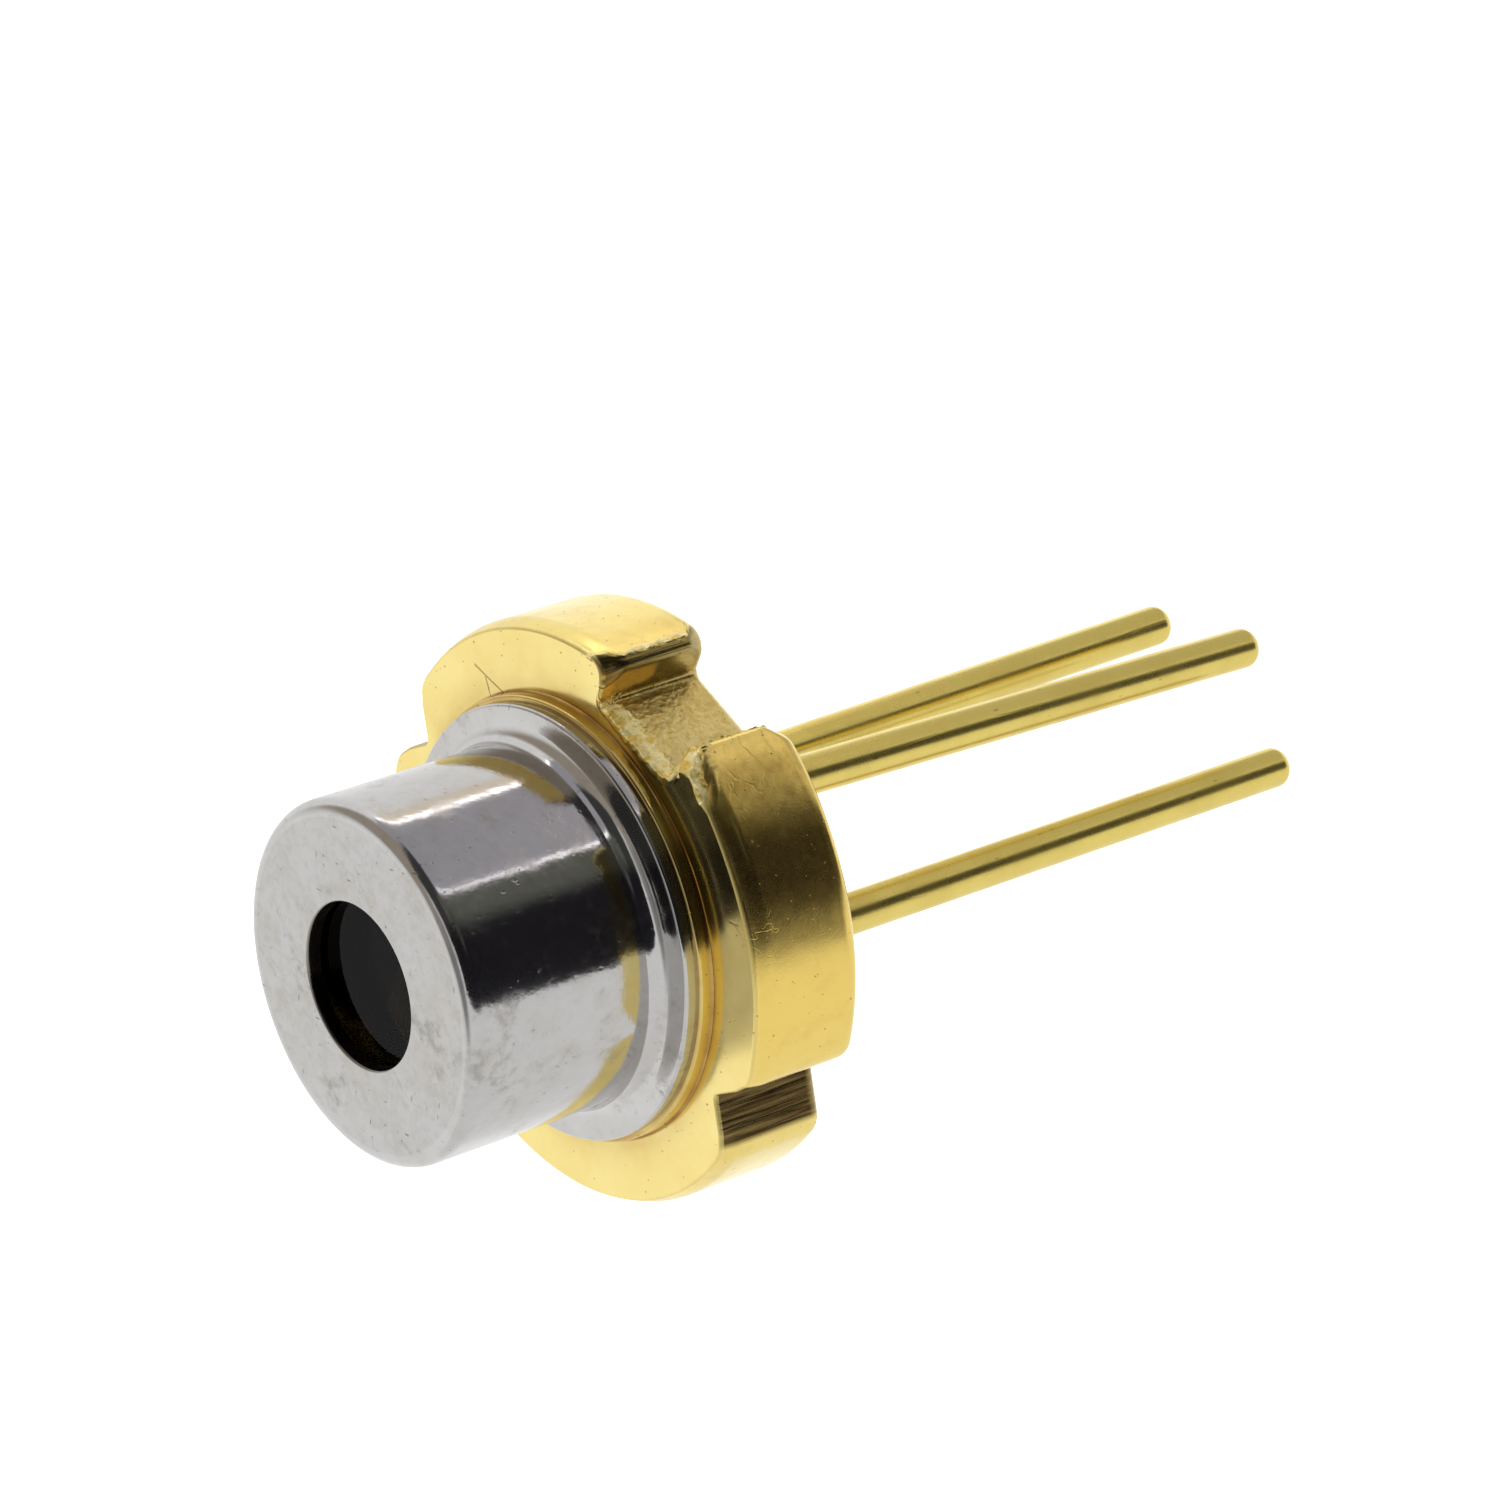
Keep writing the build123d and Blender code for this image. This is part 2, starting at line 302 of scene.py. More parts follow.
def makeCapNickel():
    f = SimpleNamespace(**capFinish)
    material, tree, shader = newMaterial("capNickel")
    place = objectVector(tree)
    satin = attribute(tree, "satin")

    def clouds(scale, low, high):
        return useGroup(cloudGroup, place, Scale=scale, Low=low, High=high)

    hazes = clouds(1500.0, 0.42, 0.68)
    smudges = clouds(2600.0, 0.54, 0.72)
    speckle = clouds(9500.0, 0.44, 0.66)
    smears = times(clouds(1250.0, 0.56, 0.64), speckle)
    hairs = most(*(useGroup(pitGroup, place, Stretch=stretch, Turn=(0.0, 0.0, turn), Size=size, Share=share)
                   for stretch, turn, size, share in f.hairs))
    hairs = times(hairs, plus(0.25, times(clouds(2000.0, 0.42, 0.60), 0.75)))
    lines = useGroup(scratchGroup, place, Stretch=(700.0, 3600.0, 2600.0), Turn=(0.0, 0.0, 0.9), Width=0.010,
                     Share=0.44)
    marks = most(hairs, times(lines, mixValues(satin, 0.06, 0.35)))
    marks = times(marks, mixValues(satin, 0.40, 0.75))
    toned = mixColours(satin, f.bright, f.satin)
    for share, tone in (
        (times(hazes, mixValues(satin, 0.20, 0.34)), "tarnish"),
        (times(smudges, 0.30), "tarnish"),
        (times(speckle, mixValues(satin, 0.05, 0.22)), "dull"),
        (times(smears, 0.50), "dull"),
    ):
        toned = mixColours(share, toned, capFinish[tone])
    axes = splitAxes(place)
    across = mathNode("SQRT", plus(times(axes[0], axes[0]), times(axes[1], axes[1])))
    # painted shade: the opening's wall takes the dark inside tone
    inside = rampMask(across, *(radius * mm for radius in f.insideRadius))
    toned = mixColours(times(inside, 0.9), toned, f.inside)
    rough = mixValues(satin, f.barrelRoughness, f.faceRoughness)
    feedAll(shader, {
        "Base Color": mixColours(marks, toned, f.mark),
        "Metallic": 1.0,
        "Roughness": plus(rough, times(most(smudges, smears), 0.12), times(marks, 0.2)),
    })
    fine = times(addNoise(place, 15000.0), mixValues(satin, 0.06, 0.24))
    swell = plus(times(addNoise(place, 1700.0, 2.0), 0.6), times(addNoise(place, 6000.0), 0.22))
    addBump(shader, minus(plus(fine, swell), times(marks, 0.30)), 0.5, f.bump * mm)
    return material


# gold plate over a stamped and tumbled stem: smooth outside, rough where the notches were cut

stemFinish = {
    "face": (0.87, 0.72, 0.275),
    "rim": (0.89, 0.72, 0.245),
    "lobeRim": (0.87, 0.64, 0.17),
    "rimBrown": (0.50, 0.28, 0.07),
    "deepGold": (0.72, 0.47, 0.10),
    # painted reflection for the wide notch's wall
    "warmGold": (1.0, 0.54, 0.03),
    "soil": (0.20, 0.075, 0.012),
    # painted shade for the notches, also the colour of the punch's fine lines
    "slot": (0.072, 0.042, 0.016),
    "roughness": 0.14,
    "cutRoughness": 0.24,
    # painted shade for the crease at the land's foot
    "rust": (0.30, 0.13, 0.03),
    # painted highlight for torn metal
    "tornGold": (1.0, 0.88, 0.44),
    "tornShade": (0.90, 0.64, 0.13),
    "floorBrown": (0.78, 0.53, 0.13),
    "floorLight": (1.0, 0.85, 0.38),
    "scores": (((2.12, -1.29), (1.64, -1.35)), ((1.95, -1.30), (1.80, -1.165))),
    "scoreWidth": 0.014,
    "bump": 0.014,
}
stemLayers = ("torn", "side", "footShade", "cut", "slot", "warmReflection", "edge")


def scoredLines(place):
    lines = []
    for start, end in stemFinish["scores"]:
        start, end = Vector((*start, 0.0)), Vector((*end, 0.0))
        lines.append(useGroup(scoreGroup, place, Start=start * mm, Reach=(end - start) * mm,
                              Width=stemFinish["scoreWidth"] * mm))
    return most(*lines)


def makeStemGold():
    f = SimpleNamespace(**stemFinish)
    material, tree, shader = newMaterial("stemGold")
    place = objectVector(tree)
    torn, side, footShade, cut, slot, warmReflection, edge = (attribute(tree, name) for name in stemLayers)
    x, y, z = splitAxes(place)
    clouds = useGroup(cloudGroup, place, Scale=1300.0, Low=0.42, High=0.72)
    grime = useGroup(cloudGroup, place, Scale=3800.0, Low=0.50, High=0.74)
    specks = useGroup(pitGroup, place, Stretch=(13000.0, 19000.0, 16000.0), Turn=(0.4, 0.3, 0.8), Size=0.36,
                      Share=0.24)
    hairs = useGroup(scratchGroup, place, Stretch=(1500.0, 5200.0, 3000.0), Turn=(0.2, 0.5, 1.1), Width=0.012,
                     Share=0.40)
    sockets = {"Vector": attribute(tree, "around", "Vector"), "Scale": (24.0, 1.1, 1.0)}
    streaks = addNoise(addNode(tree, "ShaderNodeMapping", sockets).outputs[0], 1.0, 5.0)
    scored = times(scoredLines(place), minus(1.0, side), rampMask(z, -0.3 * mm, -0.1 * mm))
    base = mixColours(side, f.face, f.rim)
    base = mixColours(times(clouds, 0.30), base, f.deepGold)
    # browner beside the wide notch, on its -X side, and darker towards the notch, which is painted shade
    lobe = times(rampMask(x, -0.5 * mm, -1.0 * mm), rampMask(y, 0.0, -1.0 * mm))
    base = mixColours(times(side, lobe), base, f.lobeRim)
    shaded = times(lobe, rampMask(y, -1.7 * mm, -2.1 * mm), 0.36)
    fineBrown = cutOff(addNoise(place, 10000.0, 6.0), 0.42, 3.5)
    base = mixColours(times(plus(0.35, fineBrown), side, plus(0.03, shaded)), base, f.rimBrown)
    # painted reflection: the orange patch on the wide notch's wall
    base = mixColours(times(warmReflection, 0.9), base, f.warmGold)
    # painted shade in the notches, streaked along the axis
    base = mixColours(times(slot, plus(0.66, times(streaks, 0.55))), base, f.slot)
    # the cut floor is mottled and lighter towards -X, which is painted light, with painted glints: small specks that
    # stay bright from every side
    mottleAndLitSide = times(cutOff(addNoise(place, 17000.0, 6.0), 0.40, 5.0), 0.55)
    mottleAndLitSide = plus(mottleAndLitSide, times(rampMask(x, 0.45 * mm, -0.5 * mm), 0.45))
    base = mixColours(times(cut, 0.75), base, mixColours(mottleAndLitSide, f.floorBrown, f.floorLight))
    glints = times(cutOff(addNoise(place, 21000.0), 0.60, 9.0), cut, 0.75)
    chunks = cutOff(addNoise(place, 11000.0, 5.0), 0.40, 5.0)
    # painted highlight: torn metal, glints and the warm reflection lose some metallic so that they stay bright from
    # every side
    bright = most(times(torn, plus(0.14, times(chunks, 0.48))), times(glints, 0.4), times(warmReflection, 0.45))
    patchy = plus(0.45, times(addNoise(place, 2600.0, 5.0), 1.1))
    soiled = most(times(specks, 0.42), times(scored, 0.7), times(grime, plus(times(side, 0.10), times(cut, 0.20))))
    # painted shade in the crease at the land's foot and on the face beside it, patchy
    base = mixColours(times(footShade, 0.80, patchy), base, f.rust)
    base = mixColours(soiled, base, f.soil)
    # painted highlight: torn metal mixes a lit and a shaded gold
    base = mixColours(times(torn, 0.9), base, mixColours(chunks, f.tornShade, f.tornGold))
    rough = mixValues(cut, f.roughness, f.cutRoughness)
    feedAll(shader, {
        "Base Color": mixColours(glints, base, f.floorLight),
        "Metallic": minus(1.0, times(bright, 0.55)),
        "Roughness": plus(rough, times(clouds, 0.06), times(edge, 0.30), times(side, 0.07), times(specks, 0.25)),
    })
    height = plus(
        times(addNoise(place, 42000.0), plus(0.02, times(side, 0.035))),
        times(addNoise(place, 1500.0, 2.0), 0.6),
        times(addNoise(place, 9000.0, 4.0), side, 0.07),
        times(addNoise(place, 19000.0, 5.0), cut, 1.7),
        times(addNoise(place, 12000.0, 4.0), torn, 4.0),
        times(streaks, slot, 0.9),
        times(most(hairs, specks), -0.10),
        times(scored, -0.5),
    )
    addBump(shader, height, 0.6, f.bump * mm)
    return material


# drawn lead wire under bright gold

leadFinish = {
    "gold": (0.79, 0.63, 0.175),
    "deepGold": (0.64, 0.46, 0.09),
    "speck": (0.30, 0.20, 0.07),
    "roughness": 0.25,
    "bump": 0.008,
}


def makeLeadGold():
    f = SimpleNamespace(**leadFinish)
    material, tree, shader = newMaterial("leadGold")
    place = objectVector(tree)
    clouds = useGroup(cloudGroup, place, Scale=1500.0, Low=0.42, High=0.72)
    specks = useGroup(pitGroup, place, Stretch=(12000.0, 12000.0, 5000.0), Size=0.34, Share=0.10)
    draws = useGroup(scratchGroup, place, Stretch=(9000.0, 9000.0, 500.0), Width=0.04, Share=0.5)
    toned = mixColours(times(clouds, 0.35), f.gold, f.deepGold)
    feedAll(shader, {
        "Base Color": mixColours(times(specks, 0.45), toned, f.speck),
        "Metallic": 1.0,
        "Roughness": plus(f.roughness, times(clouds, 0.08)),
    })
    height = plus(times(addNoise(place, 2600.0), 0.5), times(draws, -0.15), times(addNoise(place, 13000.0), 0.12))
    addBump(shader, height, 0.5, f.bump * mm)
    return material


# glass of the window with a faint haze, tinted dark as painted shade for the can's inside

windowFinish = {"clear": (0.15, 0.14, 0.125), "haze": (0.13, 0.125, 0.11), "bending": 1.12}


def makeWindowGlass():
    material, tree, shader = newMaterial("windowGlass")
    haze = useGroup(cloudGroup, objectVector(tree), Scale=1800.0, Low=0.50, High=0.80)
    feedAll(shader, {
        "Base Color": mixColours(haze, windowFinish["clear"], windowFinish["haze"]),
        "Roughness": times(haze, 0.03),
        "Metallic": 0.0,
        "Transmission Weight": 1.0,
        "IOR": windowFinish["bending"],
    })
    return material


# plain finishes for what sits inside and behind: two tones, the clouds' scale, metallic, roughness, bump

plainFinishes = {
    "ringGlass": ((0.05, 0.045, 0.04), (0.09, 0.08, 0.065), 1500.0, 0.0, 0.25, 0.3),
    "beadGlass": ((0.10, 0.15, 0.14), (0.18, 0.23, 0.20), 1900.0, 0.0, 0.12, 0.4),
    "braze": ((0.80, 0.63, 0.27), (0.66, 0.49, 0.20), 2400.0, 1.0, 0.24, 0.5),
    "sinkGold": ((0.84, 0.63, 0.22), (0.70, 0.46, 0.13), 2000.0, 1.0, 0.25, 0.5),
    "solder": ((0.62, 0.54, 0.34), (0.50, 0.45, 0.36), 3000.0, 1.0, 0.35, 0.6),
    "submountCeramic": ((0.74, 0.72, 0.66), (0.64, 0.62, 0.57), 4000.0, 0.0, 0.5, 0.5),
    "laserCrystal": ((0.55, 0.43, 0.20), (0.30, 0.26, 0.22), 5000.0, 0.8, 0.18, 0.3),
    "silicon": ((0.05, 0.06, 0.11), (0.09, 0.10, 0.16), 4000.0, 0.2, 0.10, 0.2),
    "wireGold": ((0.90, 0.70, 0.30), (0.78, 0.56, 0.20), 6000.0, 1.0, 0.15, 0.4),
}


def makePlainFinish(name, first, second, scale, metallic, roughness, bump):
    material, tree, shader = newMaterial(name)
    place = objectVector(tree)
    clouds = useGroup(cloudGroup, place, Scale=scale, Low=0.38, High=0.68)
    specks = useGroup(pitGroup, place, Stretch=(scale * 3.0, scale * 4.0, scale * 3.5), Size=0.4, Share=0.15)
    feedAll(shader, {
        "Base Color": mixColours(clouds, first, second),
        "Metallic": metallic,
        "Roughness": plus(roughness, times(specks, 0.12)),
    })
    addBump(shader, plus(clouds, times(specks, -0.4)), bump, 0.004 * mm)
    return material


materials = {"capNickel": makeCapNickel(), "stemGold": makeStemGold(), "leadGold": makeLeadGold(),
             "windowGlass": makeWindowGlass()}
for name, values in plainFinishes.items():
    materials[name] = makePlainFinish(name, *values)
print("materials made,", len(materials))


# turned pieces: a section in (radius, height) is carried round the axis by a node tree

def roundedSection(corners, step=0.05, arcCount=8):
    # corners are (radius, height, round, satin); returns (radius, height, satin), closed, evenly cut up
    outline = []
    for i, (radius, height, size, satin) in enumerate(corners):
        here = Vector((radius, height))
        if size <= 0:
            outline.append((here.x, here.y, satin))
            continue
        back = (Vector(corners[i - 1][:2]) - here).normalized()
        ahead = (Vector(corners[(i + 1) % len(corners)][:2]) - here).normalized()
        half = math.acos(max(-1.0, min(1.0, back.dot(ahead)))) / 2
        reach = size / math.tan(half)
        centre = here + (back + ahead).normalized() * size / math.sin(half)
        start = here + back * reach - centre
        end = here + ahead * reach - centre
        for k in range(arcCount + 1):
            spoke = start.slerp(end, k / arcCount).normalized() * size
            outline.append((centre.x + spoke.x, centre.y + spoke.y, satin))
    points = []
    for here, after in zip(outline, outline[1:] + outline[:1]):
        pieces = max(1, round(math.dist(here[:2], after[:2]) / step))
        for k in range(pieces):
            share = k / pieces
            points.append(tuple(a + (b - a) * share for a, b in zip(here, after)))
    return points


def closeTree(geometry, material, result):
    painted = addNode(geometry.id_data, "GeometryNodeSetMaterial", {"Geometry": geometry, "Material": material})
    whole = addNode(geometry.id_data, "GeometryNodeRealizeInstances", {0: painted.outputs[0]})
    feed(result, whole.outputs[0])


def makeTurningTree():
    # a closed section, one vertex after another, becomes a solid of revolution
    inputs = {"Geometry": "Geometry", "Segments": 160, "Centre": (0.0, 0.0, 0.0), "Material": "Material"}
    tree, source, result = newGroup("turnedSection", "GeometryNodeTree", inputs, "Geometry", "Geometry")
    section, segments = source["Geometry"], source["Segments"]
    size = addNode(tree, "GeometryNodeAttributeDomainSize", {0: section}, component="MESH").outputs["Point Count"]
    ringPoints = plus(size, 1.0)
    grid = addNode(tree, "GeometryNodeMeshGrid", {"Vertices X": plus(segments, 1.0), "Vertices Y": ringPoints})
    index = addNode(tree, "GeometryNodeInputIndex").outputs[0]
    row = mathNode("FLOOR", over(plus(index, 0.5), ringPoints))
    along = mathNode("FLOORED_MODULO", minus(index, times(row, ringPoints)), size)
    turn = times(over(row, segments), 2 * math.pi)

    def sampled(dataType, field):
        sockets = {"Geometry": section, "Value": field, "Index": along}
        return addNode(tree, "GeometryNodeSampleIndex", sockets, data_type=dataType, domain="POINT").outputs[0]

    radius, _, height = splitAxes(sampled("FLOAT_VECTOR", addNode(tree, "GeometryNodeInputPosition").outputs[0]))
    sockets = {0: times(radius, mathNode("COSINE", turn)), 1: times(radius, mathNode("SINE", turn)), 2: height}
    spun = addNode(tree, "ShaderNodeCombineXYZ", sockets).outputs[0]
    satin = addNode(tree, "GeometryNodeInputNamedAttribute", {0: "satin"}, data_type="FLOAT").outputs[0]
    sockets = {"Geometry": grid.outputs["Mesh"], "Name": "satin", "Value": sampled("FLOAT", satin)}
    store = addNode(tree, "GeometryNodeStoreNamedAttribute", sockets, data_type="FLOAT", domain="POINT")
    sockets = {"Geometry": store.outputs[0], "Position": vectorNode("ADD", spun, source["Centre"])[0]}
    placed = addNode(tree, "GeometryNodeSetPosition", sockets)
    sockets = {"Geometry": placed.outputs[0], "Distance": 0.0002 * mm}
    closeTree(addNode(tree, "GeometryNodeMergeByDistance", sockets).outputs[0], source["Material"], result)
    return tree


turningTree = makeTurningTree()


def linkObject(name, data):
    obj = bpy.data.objects.new(name, data)
    bpy.context.scene.collection.objects.link(obj)
    return obj


def frozenMesh(obj):
    # the object's mesh as its modifiers leave it
    return bpy.data.meshes.new_from_object(obj.evaluated_get(bpy.context.evaluated_depsgraph_get()))


def bakeTree(obj, tree, inputs, sharpAngle=35.0):
    # runs the tree once and keeps its result as a plain mesh on a new object of the same name
    modifier = obj.modifiers.new("shape", "NODES")
    modifier.node_group = tree
    for item in tree.interface.items_tree:
        if item.in_out == "INPUT" and item.name in inputs:
            modifier[item.identifier] = inputs[item.name]
    name = obj.name
    mesh = frozenMesh(obj)
    bpy.data.objects.remove(obj)
    return finishMesh(name, mesh, sharpAngle)


def finishMesh(name, mesh, sharpAngle):
    bm = bmesh.new()
    bm.from_mesh(mesh)
    bmesh.ops.remove_doubles(bm, verts=bm.verts, dist=0.0001 * mm)
    bmesh.ops.recalc_face_normals(bm, faces=bm.faces)
    bm.to_mesh(mesh)
    bm.free()
    mesh.shade_smooth()
    mesh.set_sharp_from_angle(angle=math.radians(sharpAngle))
    mesh.name = name
    return linkObject(name, mesh)


def turnedPiece(name, section, material, centre=(0.0, 0.0), segments=160):
    mesh = bpy.data.meshes.new(name)
    count = len(section)
    edges = [(i, (i + 1) % count) for i in range(count)]
    mesh.from_pydata([(r * mm, 0.0, z * mm) for r, z, _ in section], edges, [])
    satin = mesh.attributes.new("satin", "FLOAT", "POINT")
    satin.data.foreach_set("value", [tag for _, _, tag in section])
    values = {"Segments": segments, "Centre": (centre[0] * mm, centre[1] * mm, 0.0), "Material": materials[material]}
    return bakeTree(linkObject(name, mesh), turningTree, values)


def dress(obj, slot, *nodes):
    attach(obj, "root")
    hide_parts(*nodes)


def paintSolid(node, finish):
    data = frame["nodes"][node].data
    data.materials.clear()
    data.materials.append(materials[finish])


# cap: drawn cup with a satin front, a mirror barrel and a coined flange

capSizes = {
    "barrelRadius": 1.735,
    "wall": 0.15,
    "openingRadius": 0.79,
    "flangeTop": 0.13,       # above the land
    "frontRound": 0.14,
    "openingRound": 0.03,
    "rootRound": 0.16,
    "flangeEdgeRound": 0.035,
    "mouthRound": 0.12,
    "insideRound": 0.04,
    "segments": 288,
}


def makeCap():
    s = SimpleNamespace(**capSizes)
    bottom, top = capLow.z, capHigh.z
    inner = s.barrelRadius - s.wall
    flangeTop = bottom + s.flangeTop
    corners = [
        (s.openingRadius, top - s.wall, 0.0, 0.6),
        (s.openingRadius, top, s.openingRound, 0.9),
        (s.openingRadius + 0.06, top, 0.0, 1.0),
        (s.barrelRadius - s.frontRound - 0.02, top, 0.0, 1.0),
        (s.barrelRadius, top, s.frontRound, 0.35),
        (s.barrelRadius, flangeTop, s.rootRound, 0.05),
        (flangeRadius, flangeTop, s.flangeEdgeRound, 0.25),
        (flangeRadius, bottom, 0.0, 0.3),
        (inner, bottom, s.mouthRound, 0.3),
        (inner, top - s.wall, s.insideRound, 0.3),
    ]
    cap = turnedPiece("capShell", roundedSection(corners, step=0.06), "capNickel", segments=s.segments)
    dress(cap, "cap_nickel", "cap")


makeCap()
print("cap made")


# window: a glass disc, its edge softened, and the dark ring that seals it

windowSizes = {"edgeRound": 0.02, "segments": 160}


def makeWindow():
    low, high = nodeBox("window_glass")
    s = SimpleNamespace(**windowSizes)
    corners = [(0.0, low.z, 0.0, 0.0), (high.x, low.z, s.edgeRound, 0.0), (high.x, high.z, s.edgeRound, 0.0),
               (0.0, high.z, 0.0, 0.0)]
    section = roundedSection(corners, step=0.2, arcCount=4)
    glass = turnedPiece("windowDisc", section, "windowGlass", segments=s.segments)
    dress(glass, "window_glass", "window_glass")


makeWindow()
paintSolid("window_seal", "ringGlass")
print("window made")


# stem outline: a disc with one wide notch and two V notches, walked anticlockwise from +X

stemSizes = {
    "wideHalfWidth": 0.53,
    "wideFloor": 2.28,
    "wideCornerRound": 0.23,       # at the front face, where the metal was drawn in
    "sheared": 0.09,               # the same corner further back
    "shearedFrom": 0.02,
    "shearedBy": 0.20,
    "shearedTo": 1.12,
    "rootRound": 0.06,
    "vRoot": 2.38,
    "vHalfAngle": 52.0,
    "vCornerRound": 0.25,
    "step": 0.022,
    "rimEdge": (0.035, 0.04),      # how far the front edge's round reaches in, and down the side
    "floorEdge": (0.045, 0.16),
    "wallEdge": (0.03, 0.04),
    "crumpledEdge": (0.10, 0.15),
    "rollIn": 0.050,               # the die's gentle roll behind the front edge
    "rollInSide": 0.035,           # and how much more of it there is beside the wide notch,
    "rollSideAt": (-124.0, 16.0),  # in degrees round the stem: where, and over how much
    "rollDown": 0.16,
    "backRound": 0.15,
    "backMargin": 0.012,
    "landMargin": 0.05,
    "landEdgeRound": 0.03,
    "sideRows": 46,
    "burr": 0.024,
    "burrWidth": 0.045,
    "farEdge": (-0.60, 0.035),     # the ridge on the -X lobe's corner: its X, and its width
    "crumpleDepth": 0.36,
    "crumpledTo": -1.04,
    "crumpledFrom": -0.62,         # from here to crumpledTo the crumpled metal gets less deep
    "crumpledRise": 0.14,          # above the floor, where it starts
    "lipDepth": 0.20,
    "lipHeight": 0.055,
    "warmDepth": 0.62,
    "brownRise": 0.31,             # above the floor, where the painted reflection ends in painted shade
    "lineSpacing": 0.042,          # the punch's fine lines beside the root
    "lineReach": 0.11,
    "slotGroove": 0.006,
    "sealRadius": 0.45,
    "sealCircle": 1.0,
}

# each kind of stretch of the outline: the spacing of its points, its front edge, how torn, how cut, how grooved
outlineKinds = {
    "rim": (1.0, "rimEdge", 0.0, 0.0, 0.0),
    "vCorner": (1.0, "rimEdge", 0.0, 0.0, 0.0),
    "vWall": (1.0, "wallEdge", 0.0, 0.0, 1.0),
    "vRoot": (0.6, "wallEdge", 0.0, 0.0, 1.0),
    "wideCorner": (0.7, "rimEdge", 0.0, 0.0, 0.0),
    "wideWall": (0.8, "wallEdge", 1.0, 0.3, 0.0),
    "wideRoot": (0.6, "wallEdge", 1.0, 0.3, 0.0),
    "wideFloor": (0.6, "floorEdge", 1.0, 1.0, 0.0),
}


def stemOutline(cornerRound, fixed=None):
    # fixed holds the number of points of each stretch, so that two outlines can be matched point by point
    s = SimpleNamespace(**stemSizes)
    rim = stemRadius
    half = math.radians(s.vHalfAngle)
    slope = Vector((math.cos(half), math.sin(half)))
    f = s.vCornerRound
    q = s.rootRound
    # along the V's wall, the place where a round of radius f touches both wall and rim
    root = Vector((s.vRoot, 0.0))
    base = root + Vector((-slope.y, slope.x)) * f
    b = base.dot(slope)
    c = base.dot(base) - (rim - f) ** 2
    reach = -b + math.sqrt(b * b - c)
    vCentre = base + slope * reach
    vWallEnd = root + slope * reach
    vRim = vCentre * rim / (rim - f)
    vWallStart = root + slope * (q / math.tan(half))
    vRootCentre = Vector((s.vRoot + q / math.sin(half), 0.0))
    apex = (s.vRoot + q / math.sin(half) - q, 0.0)
    # the wide notch, on its +X side
    w = s.wideHalfWidth
    g = cornerRound
    wideCentre = Vector((w + g, -math.sqrt((rim - g) ** 2 - (w + g) ** 2)))
    wideRim = wideCentre * rim / (rim - g)
    wideWallOut = Vector((w, wideCentre.y))
    wideWallIn = Vector((w, -s.wideFloor - q))
    wideRootCentre = Vector((w - q, -s.wideFloor - q))
    wideFloorEnd = Vector((w - q, -s.wideFloor))

    def flip(p, x, y=1):
        return (p.x * x, p.y * y)

    def intoV(x, y):
        return [("vCorner", flip(vCentre, x, y), flip(vWallEnd, x, y)), ("vWall", None, flip(vWallStart, x, y))]

    def outOfV(x, y):
        return [("vWall", None, flip(vWallEnd, x, y)), ("vCorner", flip(vCentre, x, y), flip(vRim, x, y))]

    # each stretch: its kind, its arc's centre if it has one, and where it ends
    stretches = [
        ("vRoot", flip(vRootCentre, 1), flip(vWallStart, 1)),
        *outOfV(1, 1),
        ("rim", (0, 0), flip(vRim, -1)),
        *intoV(-1, 1),
        ("vRoot", flip(vRootCentre, -1), flip(vWallStart, -1, -1)),
        *outOfV(-1, -1),
        ("rim", (0, 0), flip(wideRim, -1)),
        ("wideCorner", flip(wideCentre, -1), flip(wideWallOut, -1)),
        ("wideWall", None, flip(wideWallIn, -1)),
        ("wideRoot", flip(wideRootCentre, -1), flip(wideFloorEnd, -1)),
        ("wideFloor", None, flip(wideFloorEnd, 1)),
        ("wideRoot", flip(wideRootCentre, 1), flip(wideWallIn, 1)),
        ("wideWall", None, flip(wideWallOut, 1)),
        ("wideCorner", flip(wideCentre, 1), flip(wideRim, 1)),
        ("rim", (0, 0), flip(vRim, 1, -1)),
        *intoV(1, -1),
        ("vRoot", flip(vRootCentre, 1), apex),
    ]
    points, counts = [], []
    here = apex
    for kind, centre, end in stretches:
        if centre:
            radius = math.dist(centre, here)
            first, last = (math.atan2(p[1] - centre[1], p[0] - centre[0]) for p in (here, end))
            sweep = (last - first) % (2 * math.pi) - (2 * math.pi if kind in ("vRoot", "wideRoot") else 0.0)
        length, least = (abs(sweep) * radius, 6) if centre else (math.dist(here, end), 2)
        step = s.step * outlineKinds[kind][0]
        counts.append(fixed[len(counts)] if fixed else max(least, round(length / step)))
        for i in range(counts[-1]):
            if centre:
                turn = first + sweep * i / counts[-1]
                points.append((centre[0] + radius * math.cos(turn), centre[1] + radius * math.sin(turn), kind))
            else:
                share = i / counts[-1]
                points.append((here[0] + (end[0] - here[0]) * share, here[1] + (end[1] - here[1]) * share, kind))
        here = end
    return points, counts


def smoothLoop(values, width):
    count = len(values)
    return [sum(values[(i + k) % count] for k in range(-width, width + 1)) / (2 * width + 1) for i in range(count)]


def outwards(points):
    tangents = [after - before for before, after in zip(points[-1:] + points[:-1], points[1:] + points[:1])]
    return [Vector((t.y, -t.x)).normalized() for t in tangents]


